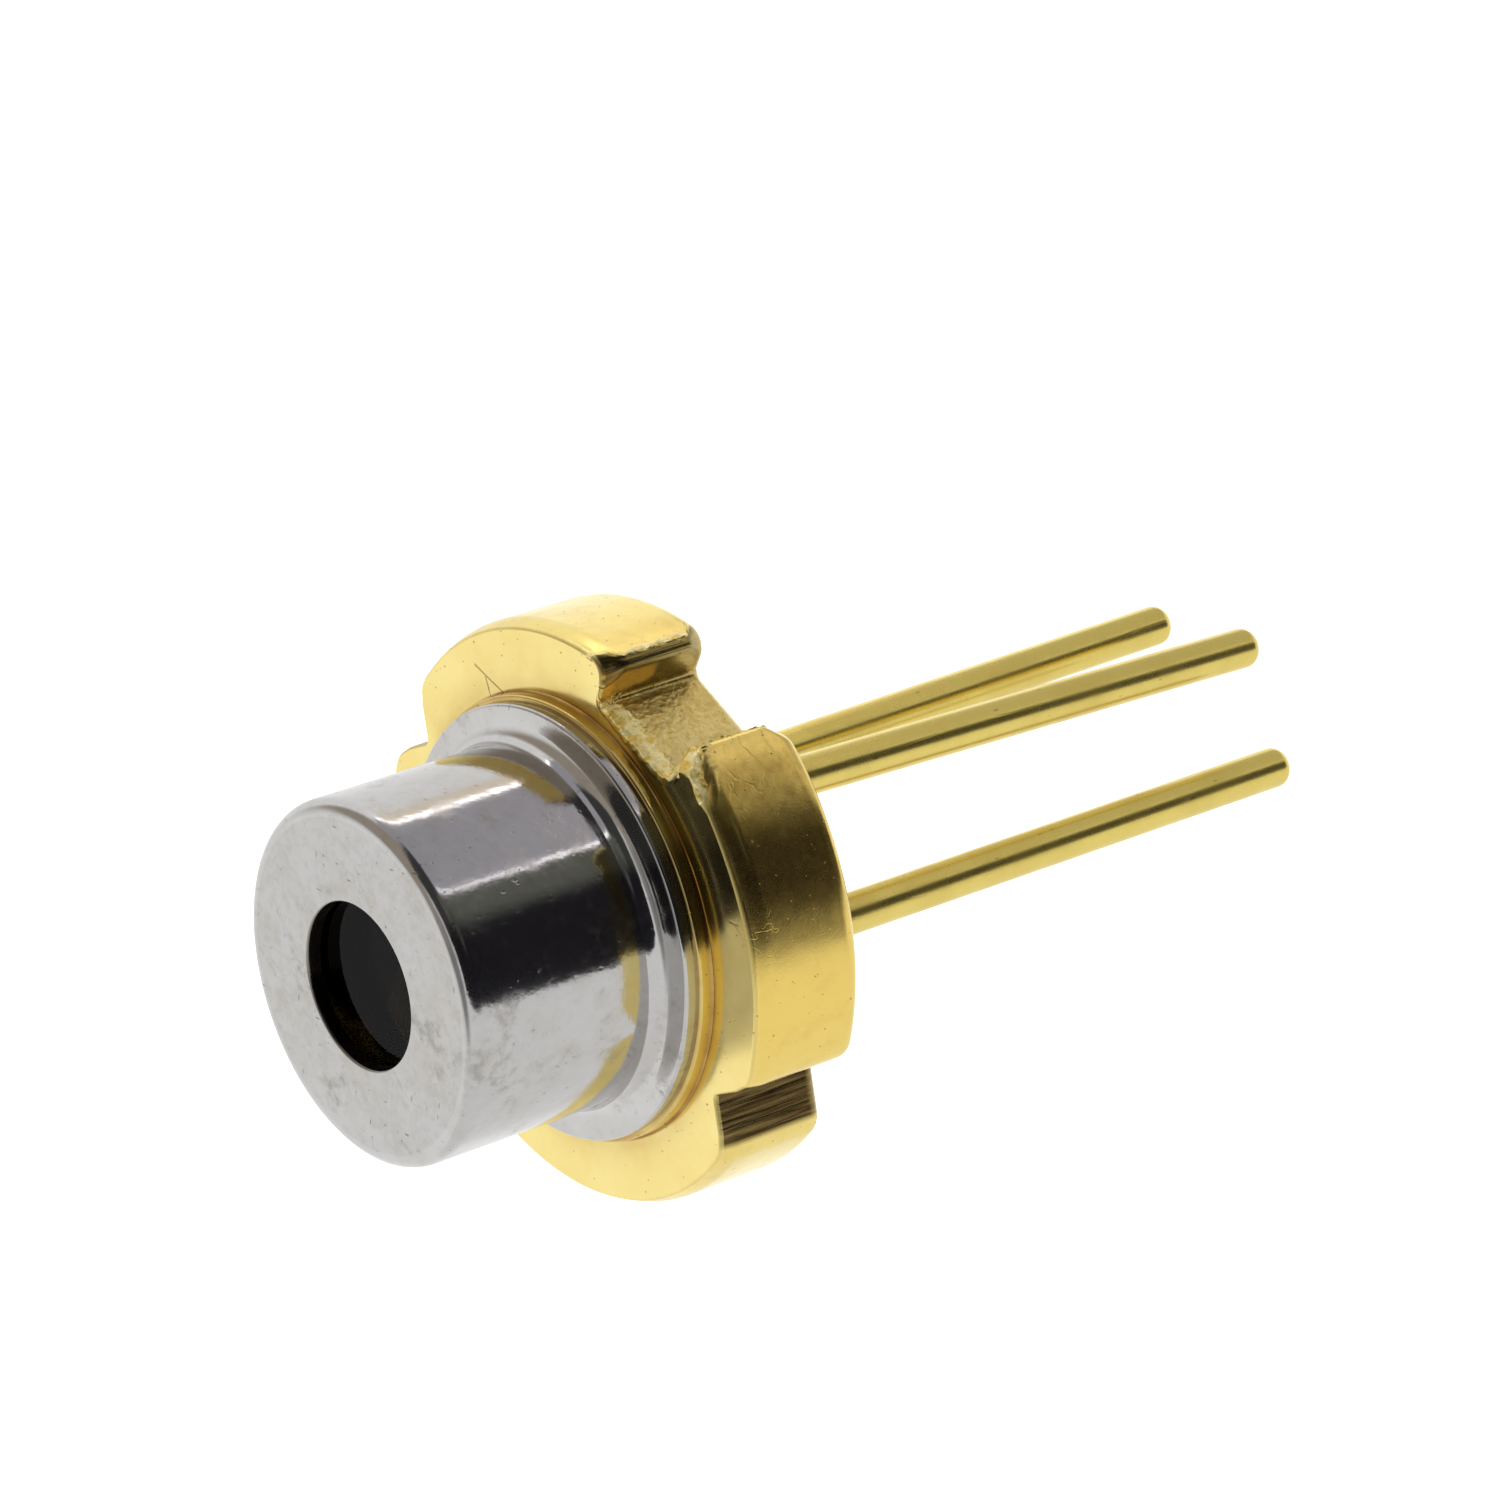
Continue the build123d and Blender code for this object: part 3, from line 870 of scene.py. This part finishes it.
def makeStemMesh():
    s = SimpleNamespace(**stemSizes)
    outline, counts = stemOutline(s.wideCornerRound)
    sheared, _ = stemOutline(s.sheared, counts)
    count = len(outline)
    kinds = [p[2] for p in outline]
    places, backPlaces = ([Vector(p[:2]) for p in loop] for loop in (outline, sheared))
    normals, backNormals = outwards(places), outwards(backPlaces)
    lengths = [0.0]
    for i in range(count):
        lengths.append(lengths[-1] + (places[(i + 1) % count] - places[i]).length)

    def isCrumpled(i):
        x, y = places[i]
        beyond = y < -s.wideFloor - s.crumpledRise
        return kinds[i] in ("wideCorner", "wideWall", "rim") and s.crumpledTo < x < 0 and beyond

    def rollAt(i):
        if kinds[i] not in ("rim", "vCorner") and not (kinds[i] == "wideCorner" and places[i].x > 0):
            return 0.0
        middle, spread = s.rollSideAt
        away = (math.degrees(math.atan2(places[i].y, places[i].x)) - middle) / spread
        return s.rollIn + s.rollInSide * math.exp(-away ** 2)

    def crumpleAt(i):
        share = (s.crumpledFrom - places[i].x) / (s.crumpledFrom - s.crumpledTo)
        return s.crumpleDepth * (1 - 0.75 * max(0.0, min(1.0, share)))

    crumpled = [isCrumpled(i) for i in range(count)]
    crumpleReach = [crumpleAt(i) for i in range(count)]
    traits = [outlineKinds[kind] for kind in kinds]
    edges = [s.crumpledEdge if crumpled[i] else stemSizes[traits[i][1]] for i in range(count)]
    edgeIn, edgeDown = (smoothLoop([edge[k] for edge in edges], 5) for k in (0, 1))
    torn = smoothLoop([1.0 if crumpled[i] else traits[i][2] for i in range(count)], 5)
    rolled = smoothLoop([rollAt(i) for i in range(count)], 6)
    cutAway = smoothLoop([trait[3] for trait in traits], 3)
    slotted = smoothLoop([trait[4] for trait in traits], 1)
    depth = -stemBack
    floorPoints = [i for i in range(count) if kinds[i] == "wideFloor"]
    floorMiddle = min(floorPoints, key=lambda i: abs(places[i].x))
    rootEnd = floorPoints[-1] + 1
    lobeEnds = [i for i in range(count) if {kinds[i], kinds[i - 1]} == {"wideCorner", "rim"}]
    burrPlace = max(lobeEnds, key=lambda i: places[i].x)
    corners = [i for i in range(count) if kinds[i] == "wideCorner"]
    farEdge = min(corners, key=lambda i: abs(places[i].x - s.farEdge[0]))
    bm = bmesh.new()
    layers = [bm.verts.layers.float.new(name) for name in stemLayers]
    aroundLayer = bm.verts.layers.float_vector.new("around")

    def underBurr(place):
        wander = 0.03 * noise.noise(Vector((3.0, place.z * 7.0, 81.0)))
        return easeStep((-place.y - s.wideFloor - s.brownRise + wander) / 0.05)

    def warmReflectionAt(i, place):
        # painted reflection: deep orange gold on the wide notch's wall, near the front
        if kinds[i] not in ("wideWall", "wideRoot", "wideCorner") or place.x < 0:
            return 0.0
        rise = -place.y - s.wideFloor - 0.15 * min(1.0, -place.z / s.warmDepth)
        return easeStep((place.z + s.warmDepth) / 0.09) * easeStep(rise / 0.04) * (1 - underBurr(place))

    def shadeAt(i, place):
        # painted shade: the rest of that wall and the band under the burr are darkened, and the punch left fine
        # lines beside the root
        if kinds[i] in ("wideWall", "wideRoot") and place.x > 0:
            return max(0.60 * (1 - warmReflectionAt(i, place)), 0.92 * underBurr(place) * (1 + 0.3 * place.z))
        if kinds[i] == "wideCorner" and place.x > 0:
            return 0.92 * easeStep((lengths[burrPlace] - lengths[i]) / 0.05 - 0.4) * (1 + 0.3 * place.z)
        away = abs(lengths[i] - lengths[rootEnd])
        if kinds[i] == "wideFloor" and away < s.lineReach:
            line = math.sin(2 * math.pi * away / s.lineSpacing)
            return 0.35 * max(0.0, line) * (1 - away / s.lineReach)
        return 0.0

    rings = []

    def ring(makePoint, side=0.0, footShade=0.0, tornAt=None, edge=0.0):
        verts = []
        for i in range(count):
            place = Vector(makePoint(i))
            vert = bm.verts.new(place * mm)
            values = (tornAt(i, place.z) if tornAt else 0.0, side, footShade, side * cutAway[i],
                      side * max(slotted[i], shadeAt(i, place)), side * warmReflectionAt(i, place), edge)
            for layer, value in zip(layers, values):
                vert[layer] = value
            vert[aroundLayer] = Vector((lengths[i], place.z, 0.0))
            verts.append(vert)
        rings.append(verts)

    def circlePoint(i, radius, z):
        # spread by length, so that the faces don't fold over beside the wide notch's walls
        turn = 2 * math.pi * (lengths[i] - lengths[floorMiddle]) / lengths[-1] - math.pi / 2
        return (math.cos(turn) * radius, math.sin(turn) * radius, z)

    def outlinePoint(i, inset, z):
        share = easeStep((-z - s.shearedFrom) / s.shearedBy) * easeStep((z + s.shearedTo) / s.shearedBy)
        place = places[i].lerp(backPlaces[i], share) - normals[i].lerp(backNormals[i], share).normalized() * inset
        return (place.x, place.y, z)

    def ripple(i, z, scale, seed):
        return noise.noise(Vector((lengths[i] * scale, z * scale, seed)))

    def lipAt(i, z):
        # the floor's front ends in a torn lip of uneven depth
        if kinds[i] not in ("wideFloor", "wideRoot"):
            return 0.0
        reach = s.lipDepth * (1 + 0.45 * ripple(i, 0.0, 5.0, 33.0) + 0.5 * ripple(i, 0.0, 14.0, 41.0))
        return easeStep((reach + z) / 0.035) * min(1.0, abs(lengths[i] - lengths[rootEnd]) / 0.05 + 0.3)

    def burrAt(i, z):
        # a torn ridge where the punch left the rim, and crumpled metal where the floor meets the other lobe
        away = (lengths[i] - lengths[burrPlace] + 0.022 * ripple(i, z, 3.0, 21.0)) / s.burrWidth
        ridge = math.exp(-away * away) * easeStep(1.2 + 2.2 * ripple(0, z, 6.0, 51.0))
        farRidge = 0.75 * math.exp(-((lengths[i] - lengths[farEdge]) / s.farEdge[1]) ** 2)
        crumple = 0.0
        if crumpled[i]:
            crumple = easeStep(1.5 * (1 + z / crumpleReach[i]) + 0.8 * ripple(i, z, 7.0, 61.0))
        return max(ridge, farRidge, crumple, lipAt(i, z))

    roundSteps = 8
    quarter = math.pi / 2 / roundSteps

    # the land: its top, its rounded edge and its foot, each ring with its radius, height and painted shade
    landRadius = flangeRadius + s.landMargin
    footRadius = landRadius + 0.03
    r = s.landEdgeRound
    land = [(0.3, landTop, 0.0), (1.2, landTop, 0.0), (1.9, landTop, 0.0)]
    for k in range(0, roundSteps + 1, 2):
        inset, drop = r * (1 - math.sin(quarter * k)), r * (1 - math.cos(quarter * k))
        land.append((landRadius - inset, landTop - drop, 0.75 - 0.05 * k))
    land += [(landRadius, 0.05, 0.45), (landRadius + 0.001, 0.012, 1.0), (landRadius + 0.012, -0.002, 1.0),
             (footRadius, 0.0, 0.3)]
    for radius, z, footShade in land:
        ring(lambda i: circlePoint(i, radius, z), footShade=footShade)

    # the front edge: how far it reaches in and down, uneven where the metal was torn
    reachIn, reachDown = [], []
    for i in range(count):
        wander = torn[i] * (0.55 * ripple(i, 0.0, 4.0, 3.0) + 0.35 * ripple(i, 0.0, 11.0, 6.0))
        reachIn.append(edgeIn[i] * (1 + wander))
        wander = torn[i] * (0.50 * ripple(i, 0.0, 5.0, 13.0) + 0.30 * ripple(i, 0.0, 12.0, 16.0))
        reachDown.append(edgeDown[i] * (1 + wander))

    def facePoint(i, share):
        start = Vector(circlePoint(i, footRadius, 0.0))
        end = Vector(outlinePoint(i, reachIn[i] + rolled[i] + 0.022, 0.0))
        if (end.xy.length - start.xy.length) < 0.004:
            end = Vector(circlePoint(i, footRadius + 0.004, 0.0))
        return tuple(start.lerp(end, share))

    def edgePoint(i, k):
        turn = quarter * k
        crumb = torn[i] * 0.010 * ripple(i, k * 0.09, 16.0, 8.0) * math.sin(2 * turn)
        inward = reachIn[i] * (1 - math.sin(turn)) + crumb + rolled[i] - s.lipHeight * lipAt(i, -0.02)
        return outlinePoint(i, inward, 0.006 * torn[i] * math.cos(turn) - reachDown[i] * (1 - math.cos(turn)))

    def edgeTorn(i, z):
        sheltered = kinds[i] == "wideWall" and places[i].x > 0
        return max(0.0 if sheltered else torn[i], burrAt(i, z))

    def sidePoint(i, share):
        z = -reachDown[i] + (-(depth - s.backRound) + reachDown[i]) * share
        rough = 0.35 + 1.2 * ripple(i, z, 9.0, 2.0) + 1.1 * ripple(i, z, 19.0, 5.0)
        out = burrAt(i, z) * s.burr * (1.6 if crumpled[i] else 1.0) * rough
        out += s.lipHeight * lipAt(i, z) * max(0.2, 1 + z / s.lipDepth) * (1 + 0.5 * ripple(i, z, 13.0, 71.0))
        out += 0.005 * cutAway[i] * ripple(i, z * 0.5, 7.0, 11.0)
        out -= rolled[i] * max(0.0, 1 - (-z - reachDown[i]) / s.rollDown) ** 2
        out += s.slotGroove * slotted[i] * ripple(i, z * 0.04, 26.0, 4.0)
        return outlinePoint(i, -out, z)

    for share in (0.1, 0.25, 0.45, 0.7, 1.0):
        ring(lambda i: facePoint(i, share), footShade=0.40 * (1 - share) ** 3)
    ring(lambda i: outlinePoint(i, reachIn[i] + rolled[i] + 0.010, 0.004 * torn[i]))
    for k in range(roundSteps + 1):
        ring(lambda i: edgePoint(i, k), side=0.6 * k / roundSteps, tornAt=edgeTorn, edge=math.sin(2 * quarter * k))
    for k in range(1, s.sideRows + 1):
        ring(lambda i: sidePoint(i, (k / s.sideRows) ** 1.3), side=1.0, tornAt=burrAt)
    b = s.backRound
    for k in range(1, roundSteps + 1):
        inset, drop = b * (1 - math.cos(quarter * k)), b * math.sin(quarter * k)
        ring(lambda i: outlinePoint(i, inset, -(depth - b) - drop), side=1.0 - k / (roundSteps + 1))
    ring(lambda i: outlinePoint(i, b + s.backMargin, -depth))
    for upper, lower in zip(rings, rings[1:]):
        for i in range(count):
            j = (i + 1) % count
            bm.faces.new((upper[i], lower[i], lower[j], upper[j]))
    hub = bm.verts.new((0.0, 0.0, landTop * mm))
    for i in range(count):
        bm.faces.new((rings[0][i], rings[0][(i + 1) % count], hub))
    back = bm.faces.new(rings[-1])
    back.normal_update()
    bmesh.ops.triangulate(bm, faces=[back], ngon_method="EAR_CLIP")
    bmesh.ops.recalc_face_normals(bm, faces=bm.faces)
    return goldMesh("stemBody", bm)


def goldMesh(name, bm):
    mesh = bpy.data.meshes.new(name)
    bm.to_mesh(mesh)
    bm.free()
    mesh.materials.append(materials["stemGold"])
    return mesh


def makeCutter(x, radius):
    bm = bmesh.new()
    place = Matrix.Translation((x * mm, 0.0, (landTop + stemBack) / 2 * mm))
    bmesh.ops.create_cone(bm, cap_ends=True, segments=96, radius1=radius * mm, radius2=radius * mm, depth=3.0 * mm,
                          matrix=place)
    return linkObject("sealBore", goldMesh("sealBore", bm))


def makeStem():
    stem = linkObject("stemRough", makeStemMesh())
    cutters = [makeCutter(side * stemSizes["sealCircle"], stemSizes["sealRadius"]) for side in (-1, 1)]
    for cutter in cutters:
        cut = stem.modifiers.new("bore", "BOOLEAN")
        cut.operation = "DIFFERENCE"
        cut.object = cutter
        cut.solver = "EXACT"
    mesh = frozenMesh(stem)
    for obj in [stem] + cutters:
        bpy.data.objects.remove(obj)
    dress(finishMesh("stemBody", mesh, 38.0), "stem_gold", "stem")


makeStem()
print("stem made")


# leads: round wire along its path, closed by a domed tip

leadSizes = {"tipRound": 0.13, "bendLength": 0.6, "bendDepth": 0.45, "rings": 90, "segments": 56}


def makeLeadTree():
    inputs = {"Geometry": "Geometry", "Radius": 0.0002, "Tip Round": 0.0001, "Rings": 90, "Segments": 48,
              "Material": "Material"}
    tree, source, result = newGroup("roundLead", "GeometryNodeTree", inputs, "Geometry", "Geometry")
    path, tip = source["Geometry"], source["Tip Round"]
    length = addNode(tree, "GeometryNodeCurveLength", {0: path}).outputs[0]
    line = addNode(tree, "GeometryNodeMeshLine", {"Count": source["Rings"]}).outputs[0]
    index = addNode(tree, "GeometryNodeInputIndex").outputs[0]
    left = minus(1.0, over(index, minus(source["Rings"], 1.0)))
    # the rings crowd towards the tip, where the wire rounds over
    leftLength = times(length, mathNode("POWER", left, 2.0))
    sockets = {"Curves": path, "Length": minus(length, leftLength)}
    sample = addNode(tree, "GeometryNodeSampleCurve", sockets, mode="LENGTH", data_type="FLOAT")
    sockets = {"Geometry": line, "Position": sample.outputs["Position"]}
    placed = addNode(tree, "GeometryNodeSetPosition", sockets).outputs[0]
    curve = addNode(tree, "GeometryNodeMeshToCurve", {0: placed}).outputs[0]
    inside = minus(tip, mathNode("MINIMUM", leftLength, tip))
    drop = mathNode("SQRT", minus(times(tip, tip), times(inside, inside)))
    radius = plus(minus(source["Radius"], tip), drop)
    thick = addNode(tree, "GeometryNodeSetCurveRadius", {"Curve": curve, "Radius": radius}).outputs[0]
    sockets = {"Radius": 1.0, "Resolution": source["Segments"]}
    circle = addNode(tree, "GeometryNodeCurvePrimitiveCircle", sockets, mode="RADIUS").outputs[0]
    sockets = {"Curve": thick, "Profile Curve": circle, "Scale": radius, "Fill Caps": True}
    closeTree(addNode(tree, "GeometryNodeCurveToMesh", sockets).outputs[0], source["Material"], result)
    return tree


leadTree = makeLeadTree()


def polyCurve(name, points):
    data = bpy.data.curves.new(name, "CURVE")
    data.dimensions = "3D"
    spline = data.splines.new("POLY")
    spline.points.add(len(points) - 1)
    for point, place in zip(spline.points, points):
        point.co = (*(Vector(place) * mm), 1.0)
    return linkObject(name, data)


def makeLead(name, node, mount):
    s = SimpleNamespace(**leadSizes)
    low, high = nodeBox(node)
    middle = Vector(mounts[mount]["pos_m"]) / mm
    lean = Vector(mounts[mount]["axis"]).normalized()
    bendZ = stemBack - s.bendDepth
    bend, tip = (middle + lean * ((z - middle.z) / lean.z) for z in (bendZ, low.z))
    half = s.bendLength / 2
    start = Vector((bend.x, bend.y, bendZ + half))
    end = bend + lean * half
    points = [(bend.x, bend.y, high.z), tuple(start)]
    for k in range(1, 8):
        t = k / 8
        points.append(tuple(start * (1 - t) ** 2 + bend * (2 * t * (1 - t)) + end * t ** 2))
    points += [tuple(end), tuple(tip)]
    values = {"Radius": leadRadius * mm, "Tip Round": s.tipRound * mm, "Rings": s.rings,
              "Segments": s.segments, "Material": materials["leadGold"]}
    dress(bakeTree(polyCurve(name, points), leadTree, values, 50.0), "lead_gold", node)


for name in ("laser", "photodiode", "common"):
    makeLead(name + "LeadWire", name + "_lead", name + "_lead_pin")
print("leads made")


# beads, braze and bench keep their solids, or get the same turned section with a finer round

beadSizes = {"recess": 0.04, "dip": 0.05, "frontDip": 0.02, "brazeRadius": 0.34, "brazeHeight": 0.12, "segments": 96,
             "steps": 12}


def dishedBead(name, node, x):
    s = SimpleNamespace(**beadSizes)
    radius = stemSizes["sealRadius"]
    section = []
    for begin, end, z, dip in ((radius, leadRadius, stemBack + s.recess, s.dip),
                               (leadRadius, radius, landTop - s.recess, -s.frontDip)):
        for k in range(s.steps + 1):
            share = k / s.steps
            section.append((begin + (end - begin) * share, z + dip * math.sin(math.pi * share), 0.0))
    bead = turnedPiece(name, section, "beadGlass", (x, 0.0), s.segments)
    dress(bead, "lead_seal_glass", node)


dishedBead("laserBead", "laser_lead_seal", -stemSizes["sealCircle"])
dishedBead("photodiodeBead", "photodiode_lead_seal", stemSizes["sealCircle"])


def makeBraze():
    s = SimpleNamespace(**beadSizes)
    section = [(leadRadius, stemBack, 0.0), (s.brazeRadius, stemBack, 0.0)]
    span = s.brazeRadius - leadRadius
    for k in range(1, s.steps + 1):
        share = k / s.steps
        section.append((leadRadius + span * (1 - share) ** 2, stemBack - s.brazeHeight * share, 0.0))
    collar = turnedPiece("brazeCollar", section, "braze", (0.0, -stemSizes["sealCircle"]), s.segments)
    dress(collar, "braze", "common_lead_braze")


makeBraze()

carriedOver = {
    "heat_sink": "sinkGold", "heat_sink_braze": "braze", "submount_solder": "solder", "submount": "submountCeramic",
    "laser_chip_solder": "solder", "laser_chip": "laserCrystal", "photodiode_solder": "solder",
    "photodiode": "silicon", "laser_wire": "wireGold", "submount_wire": "wireGold", "photodiode_wire": "wireGold",
}
for node, finish in carriedOver.items():
    paintSolid(node, finish)
print("bench dressed")


# studio: white all round, with a black card on the wide notch's side, greyer ones above and beside it

studio = {
    "floorDrop": 0.05,
    "floorSize": 900.0,
    "cardRadius": 30.0,
    "cardLift": (-70, 90),     # the screen's lowest and highest elevation
    "columns": 720,
    "rows": 100,
    "roomLight": 0.85,
    "blurFrom": -22.0,         # the cards' sides are softer between these elevations
    "blurTo": 8.0,
    "blurRise": 0.16,
    "leans": {"blackCard": 0.7},
    "leanAt": -31.0,
    "leanSpan": (-6.0, 5.0),
}


def makeWorld():
    world = bpy.data.worlds.new("whiteRoom")
    bpy.context.scene.world = world
    world.use_nodes = True
    tree = world.node_tree
    rays = addNode(tree, "ShaderNodeLightPath").outputs
    seen = most(*(rays["Is " + name + " Ray"] for name in ("Camera", "Glossy", "Transmission")))
    strength = mixValues(seen, studio["roomLight"], 1.0)
    feedAll(tree.nodes["Background"].inputs, {"Strength": strength, "Color": (1.0, 1.0, 1.0)})


def makeFloor():
    size = studio["floorSize"] * mm
    z = cadLow.z - studio["floorDrop"] * mm
    mesh = bpy.data.meshes.new("paleFloor")
    mesh.from_pydata([(-size, -size, z), (size, -size, z), (size, size, z), (-size, size, z)], [], [(0, 1, 2, 3)])
    material, tree, shader = newMaterial("paleFloor")
    feedAll(shader, {
        "Base Color": (0.92, 0.92, 0.92),
        "Roughness": 0.9,
        "Emission Color": (1.0, 1.0, 1.0),
        "Emission Strength": times(addNode(tree, "ShaderNodeLightPath").outputs["Is Camera Ray"], 0.7),
        # from below, the floor is out of the way
        "Alpha": minus(1.0, addNode(tree, "ShaderNodeNewGeometry").outputs["Backfacing"]),
    })
    mesh.materials.append(material)
    floor = linkObject("paleFloor", mesh)
    floor.visible_glossy = False


# each card: azimuth from and to, with a soft width for either end, then the same for elevation, and its brightness
cards = {
    "sunnySide": ((332, 450, 6, 25), (-70, 12, 1, 15), (1.2, 1.2, 1.2)),
    "topDim": ((336, 450, 6, 25), (-32.4, 12, 1, 15), (1.03, 1.03, 1.03)),
    "leftWall": ((100, 200, 12, 4), (-70, 62, 1, 10), (0.95, 0.95, 0.95)),
    "ceiling": ((0, 720, 1, 1), (68, 95, 18, 1), (0.30, 0.30, 0.31)),
    "rearCorner": ((300, 380, 8, 30), (20, 95, 14, 1), (0.43, 0.38, 0.32)),
    "softbox": ((38, 104, 9, 12), (-20, 50, 10, 8), (1.10, 1.10, 1.10)),
    "rimSide": ((262, 340, 14, 8), (-38, -20, 2, 1), (0.99, 0.88, 0.72)),
    "greyCard": ((270, 328, 2, 1.5), (-32.6, 24, 0.9, 10), (0.45, 0.44, 0.485)),
    "lowGrey": ((258, 352, 9, 14), (-70, -38, 1, 3), (0.56, 0.55, 0.54)),
    "darkCorner": ((240, 305, 8, 10), (8, 62, 8, 10), (0.06, 0.06, 0.06)),
    "dimCard": ((240, 270, 8, 2), (-34, 24, 2, 10), (0.13, 0.135, 0.115)),
    "blackCard": ((198, 251, 1.2, 13), (-37, 58, 2.5, 4), (0.016, 0.015, 0.019)),
    "cardFoot": ((207, 250, 4, 12), (-70, -36, 1, 2.5), (0.06, 0.055, 0.045)),
    "windowGap": ((327.0, 330.0, 0.8, 0.8), (-38, 0, 1, 4), (3.6, 3.4, 3.4)),
    "doorGap": ((270.6, 272.2, 0.6, 0.6), (-38, 0, 1, 4), (2.4, 2.3, 2.4)),
}


def softStep(value, edge, width):
    return easeStep((value - edge) / width + 0.5)


def roomShade(turn, lift):
    s = SimpleNamespace(**studio)
    shade = Vector((1.0, 1.0, 1.0))
    blur = 1.0 + s.blurRise * max(0.0, min(lift - s.blurFrom, s.blurTo - lift))
    leaning = max(s.leanSpan[0], min(s.leanSpan[1], s.leanAt - lift))
    for name, ((start, end, softStart, softEnd), (low, high, softLow, softHigh), tone) in cards.items():
        softStart, softEnd = softStart * blur, softEnd * blur
        shift = s.leans.get(name, 0.0) * leaning
        along = (turn - (start - shift) + softStart) % 360 - softStart
        cover = softStep(along, 0.0, softStart) * (1 - softStep(along, end - start + shift, softEnd))
        if end - start >= 360:
            cover = 1.0
        cover *= softStep(lift, low, softLow) * (1 - softStep(lift, high, softHigh))
        shade = shade.lerp(Vector(tone), cover)
    return shade


def makeCards():
    # one curved screen that only reflections see
    radius = studio["cardRadius"] * mm
    columns, rows = studio["columns"], studio["rows"]
    bottom, top = studio["cardLift"]
    verts, shades, faces = [], [], []
    for j in range(rows + 1):
        lift = bottom + (top - bottom) * j / rows
        for i in range(columns):
            turn = 360 * i / columns
            a, b = math.radians(turn), math.radians(lift)
            out = radius * math.cos(b)
            verts.append((out * math.cos(a), out * math.sin(a), radius * math.sin(b)))
            shades.append(roomShade(turn, lift))
            if j < rows:
                here, after = j * columns + i, j * columns + (i + 1) % columns
                faces.append((here, here + columns, after + columns, after))
    mesh = bpy.data.meshes.new("studioCards")
    mesh.from_pydata(verts, [], faces)
    glow = mesh.attributes.new("glow", "FLOAT_VECTOR", "POINT")
    glow.data.foreach_set("vector", [v for shade in shades for v in shade])
    material, tree, shader = newMaterial("studioCards")
    feedAll(shader, {"Base Color": (0.0, 0.0, 0.0), "Roughness": 1.0, "Specular IOR Level": 0.0,
                     "Emission Color": attribute(tree, "glow", "Vector"), "Emission Strength": 1.0})
    material.cycles.emission_sampling = "NONE"
    mesh.materials.append(material)
    screen = linkObject("studioCards", mesh)
    for ray in ("camera", "diffuse", "shadow", "transmission"):
        setattr(screen, "visible_" + ray, False)


def addLamp(name, size, power, place):
    data = bpy.data.lights.new(name, "AREA")
    data.shape = "DISK"
    data.size = size * mm
    data.energy = power
    lamp = linkObject(name, data)
    lamp.visible_glossy = False
    lamp.location = Vector(place) * mm
    lamp.rotation_euler = (-lamp.location).to_track_quat("-Z", "Y").to_euler()


makeWorld()
makeFloor()
makeCards()
addLamp("softKey", 60.0, 0.008, (-30.0, 40.0, 90.0))
addLamp("softFill", 80.0, 0.004, (80.0, -30.0, 40.0))
print("studio made")


# camera: a long lens, low over the wide notch's side, rolled so that the can lies on its side

cameraPlace = {
    "azimuth": -35.41,      # 0 looks along +Y
    "elevation": 35.33,
    "roll": -107.97,
    "distance": 55.61,
    "aim": (0.07, -1.52, -1.69),
    "lens": 144.68,
    "sensor": 36.0,
    "clip": (0.5, 2000.0),
}


def makeCamera():
    c = SimpleNamespace(**cameraPlace)
    data = bpy.data.cameras.new("viewCamera")
    data.lens = c.lens
    data.sensor_width = c.sensor
    data.clip_start, data.clip_end = (distance * mm for distance in c.clip)
    camera = linkObject("viewCamera", data)
    turn, lift = math.radians(c.azimuth), math.radians(c.elevation)
    back = Vector((math.sin(turn) * math.cos(lift), -math.cos(turn) * math.cos(lift), math.sin(lift)))
    look = (-back).to_track_quat("-Z", "Y").to_matrix().to_4x4()
    spin = Matrix.Rotation(math.radians(c.roll), 4, "Z")
    camera.matrix_world = Matrix.Translation((Vector(c.aim) + back * c.distance) * mm) @ look @ spin
    bpy.context.scene.camera = camera


makeCamera()
bpy.context.scene.view_settings.view_transform = "Standard"
bpy.context.view_layer.update()
print("done")
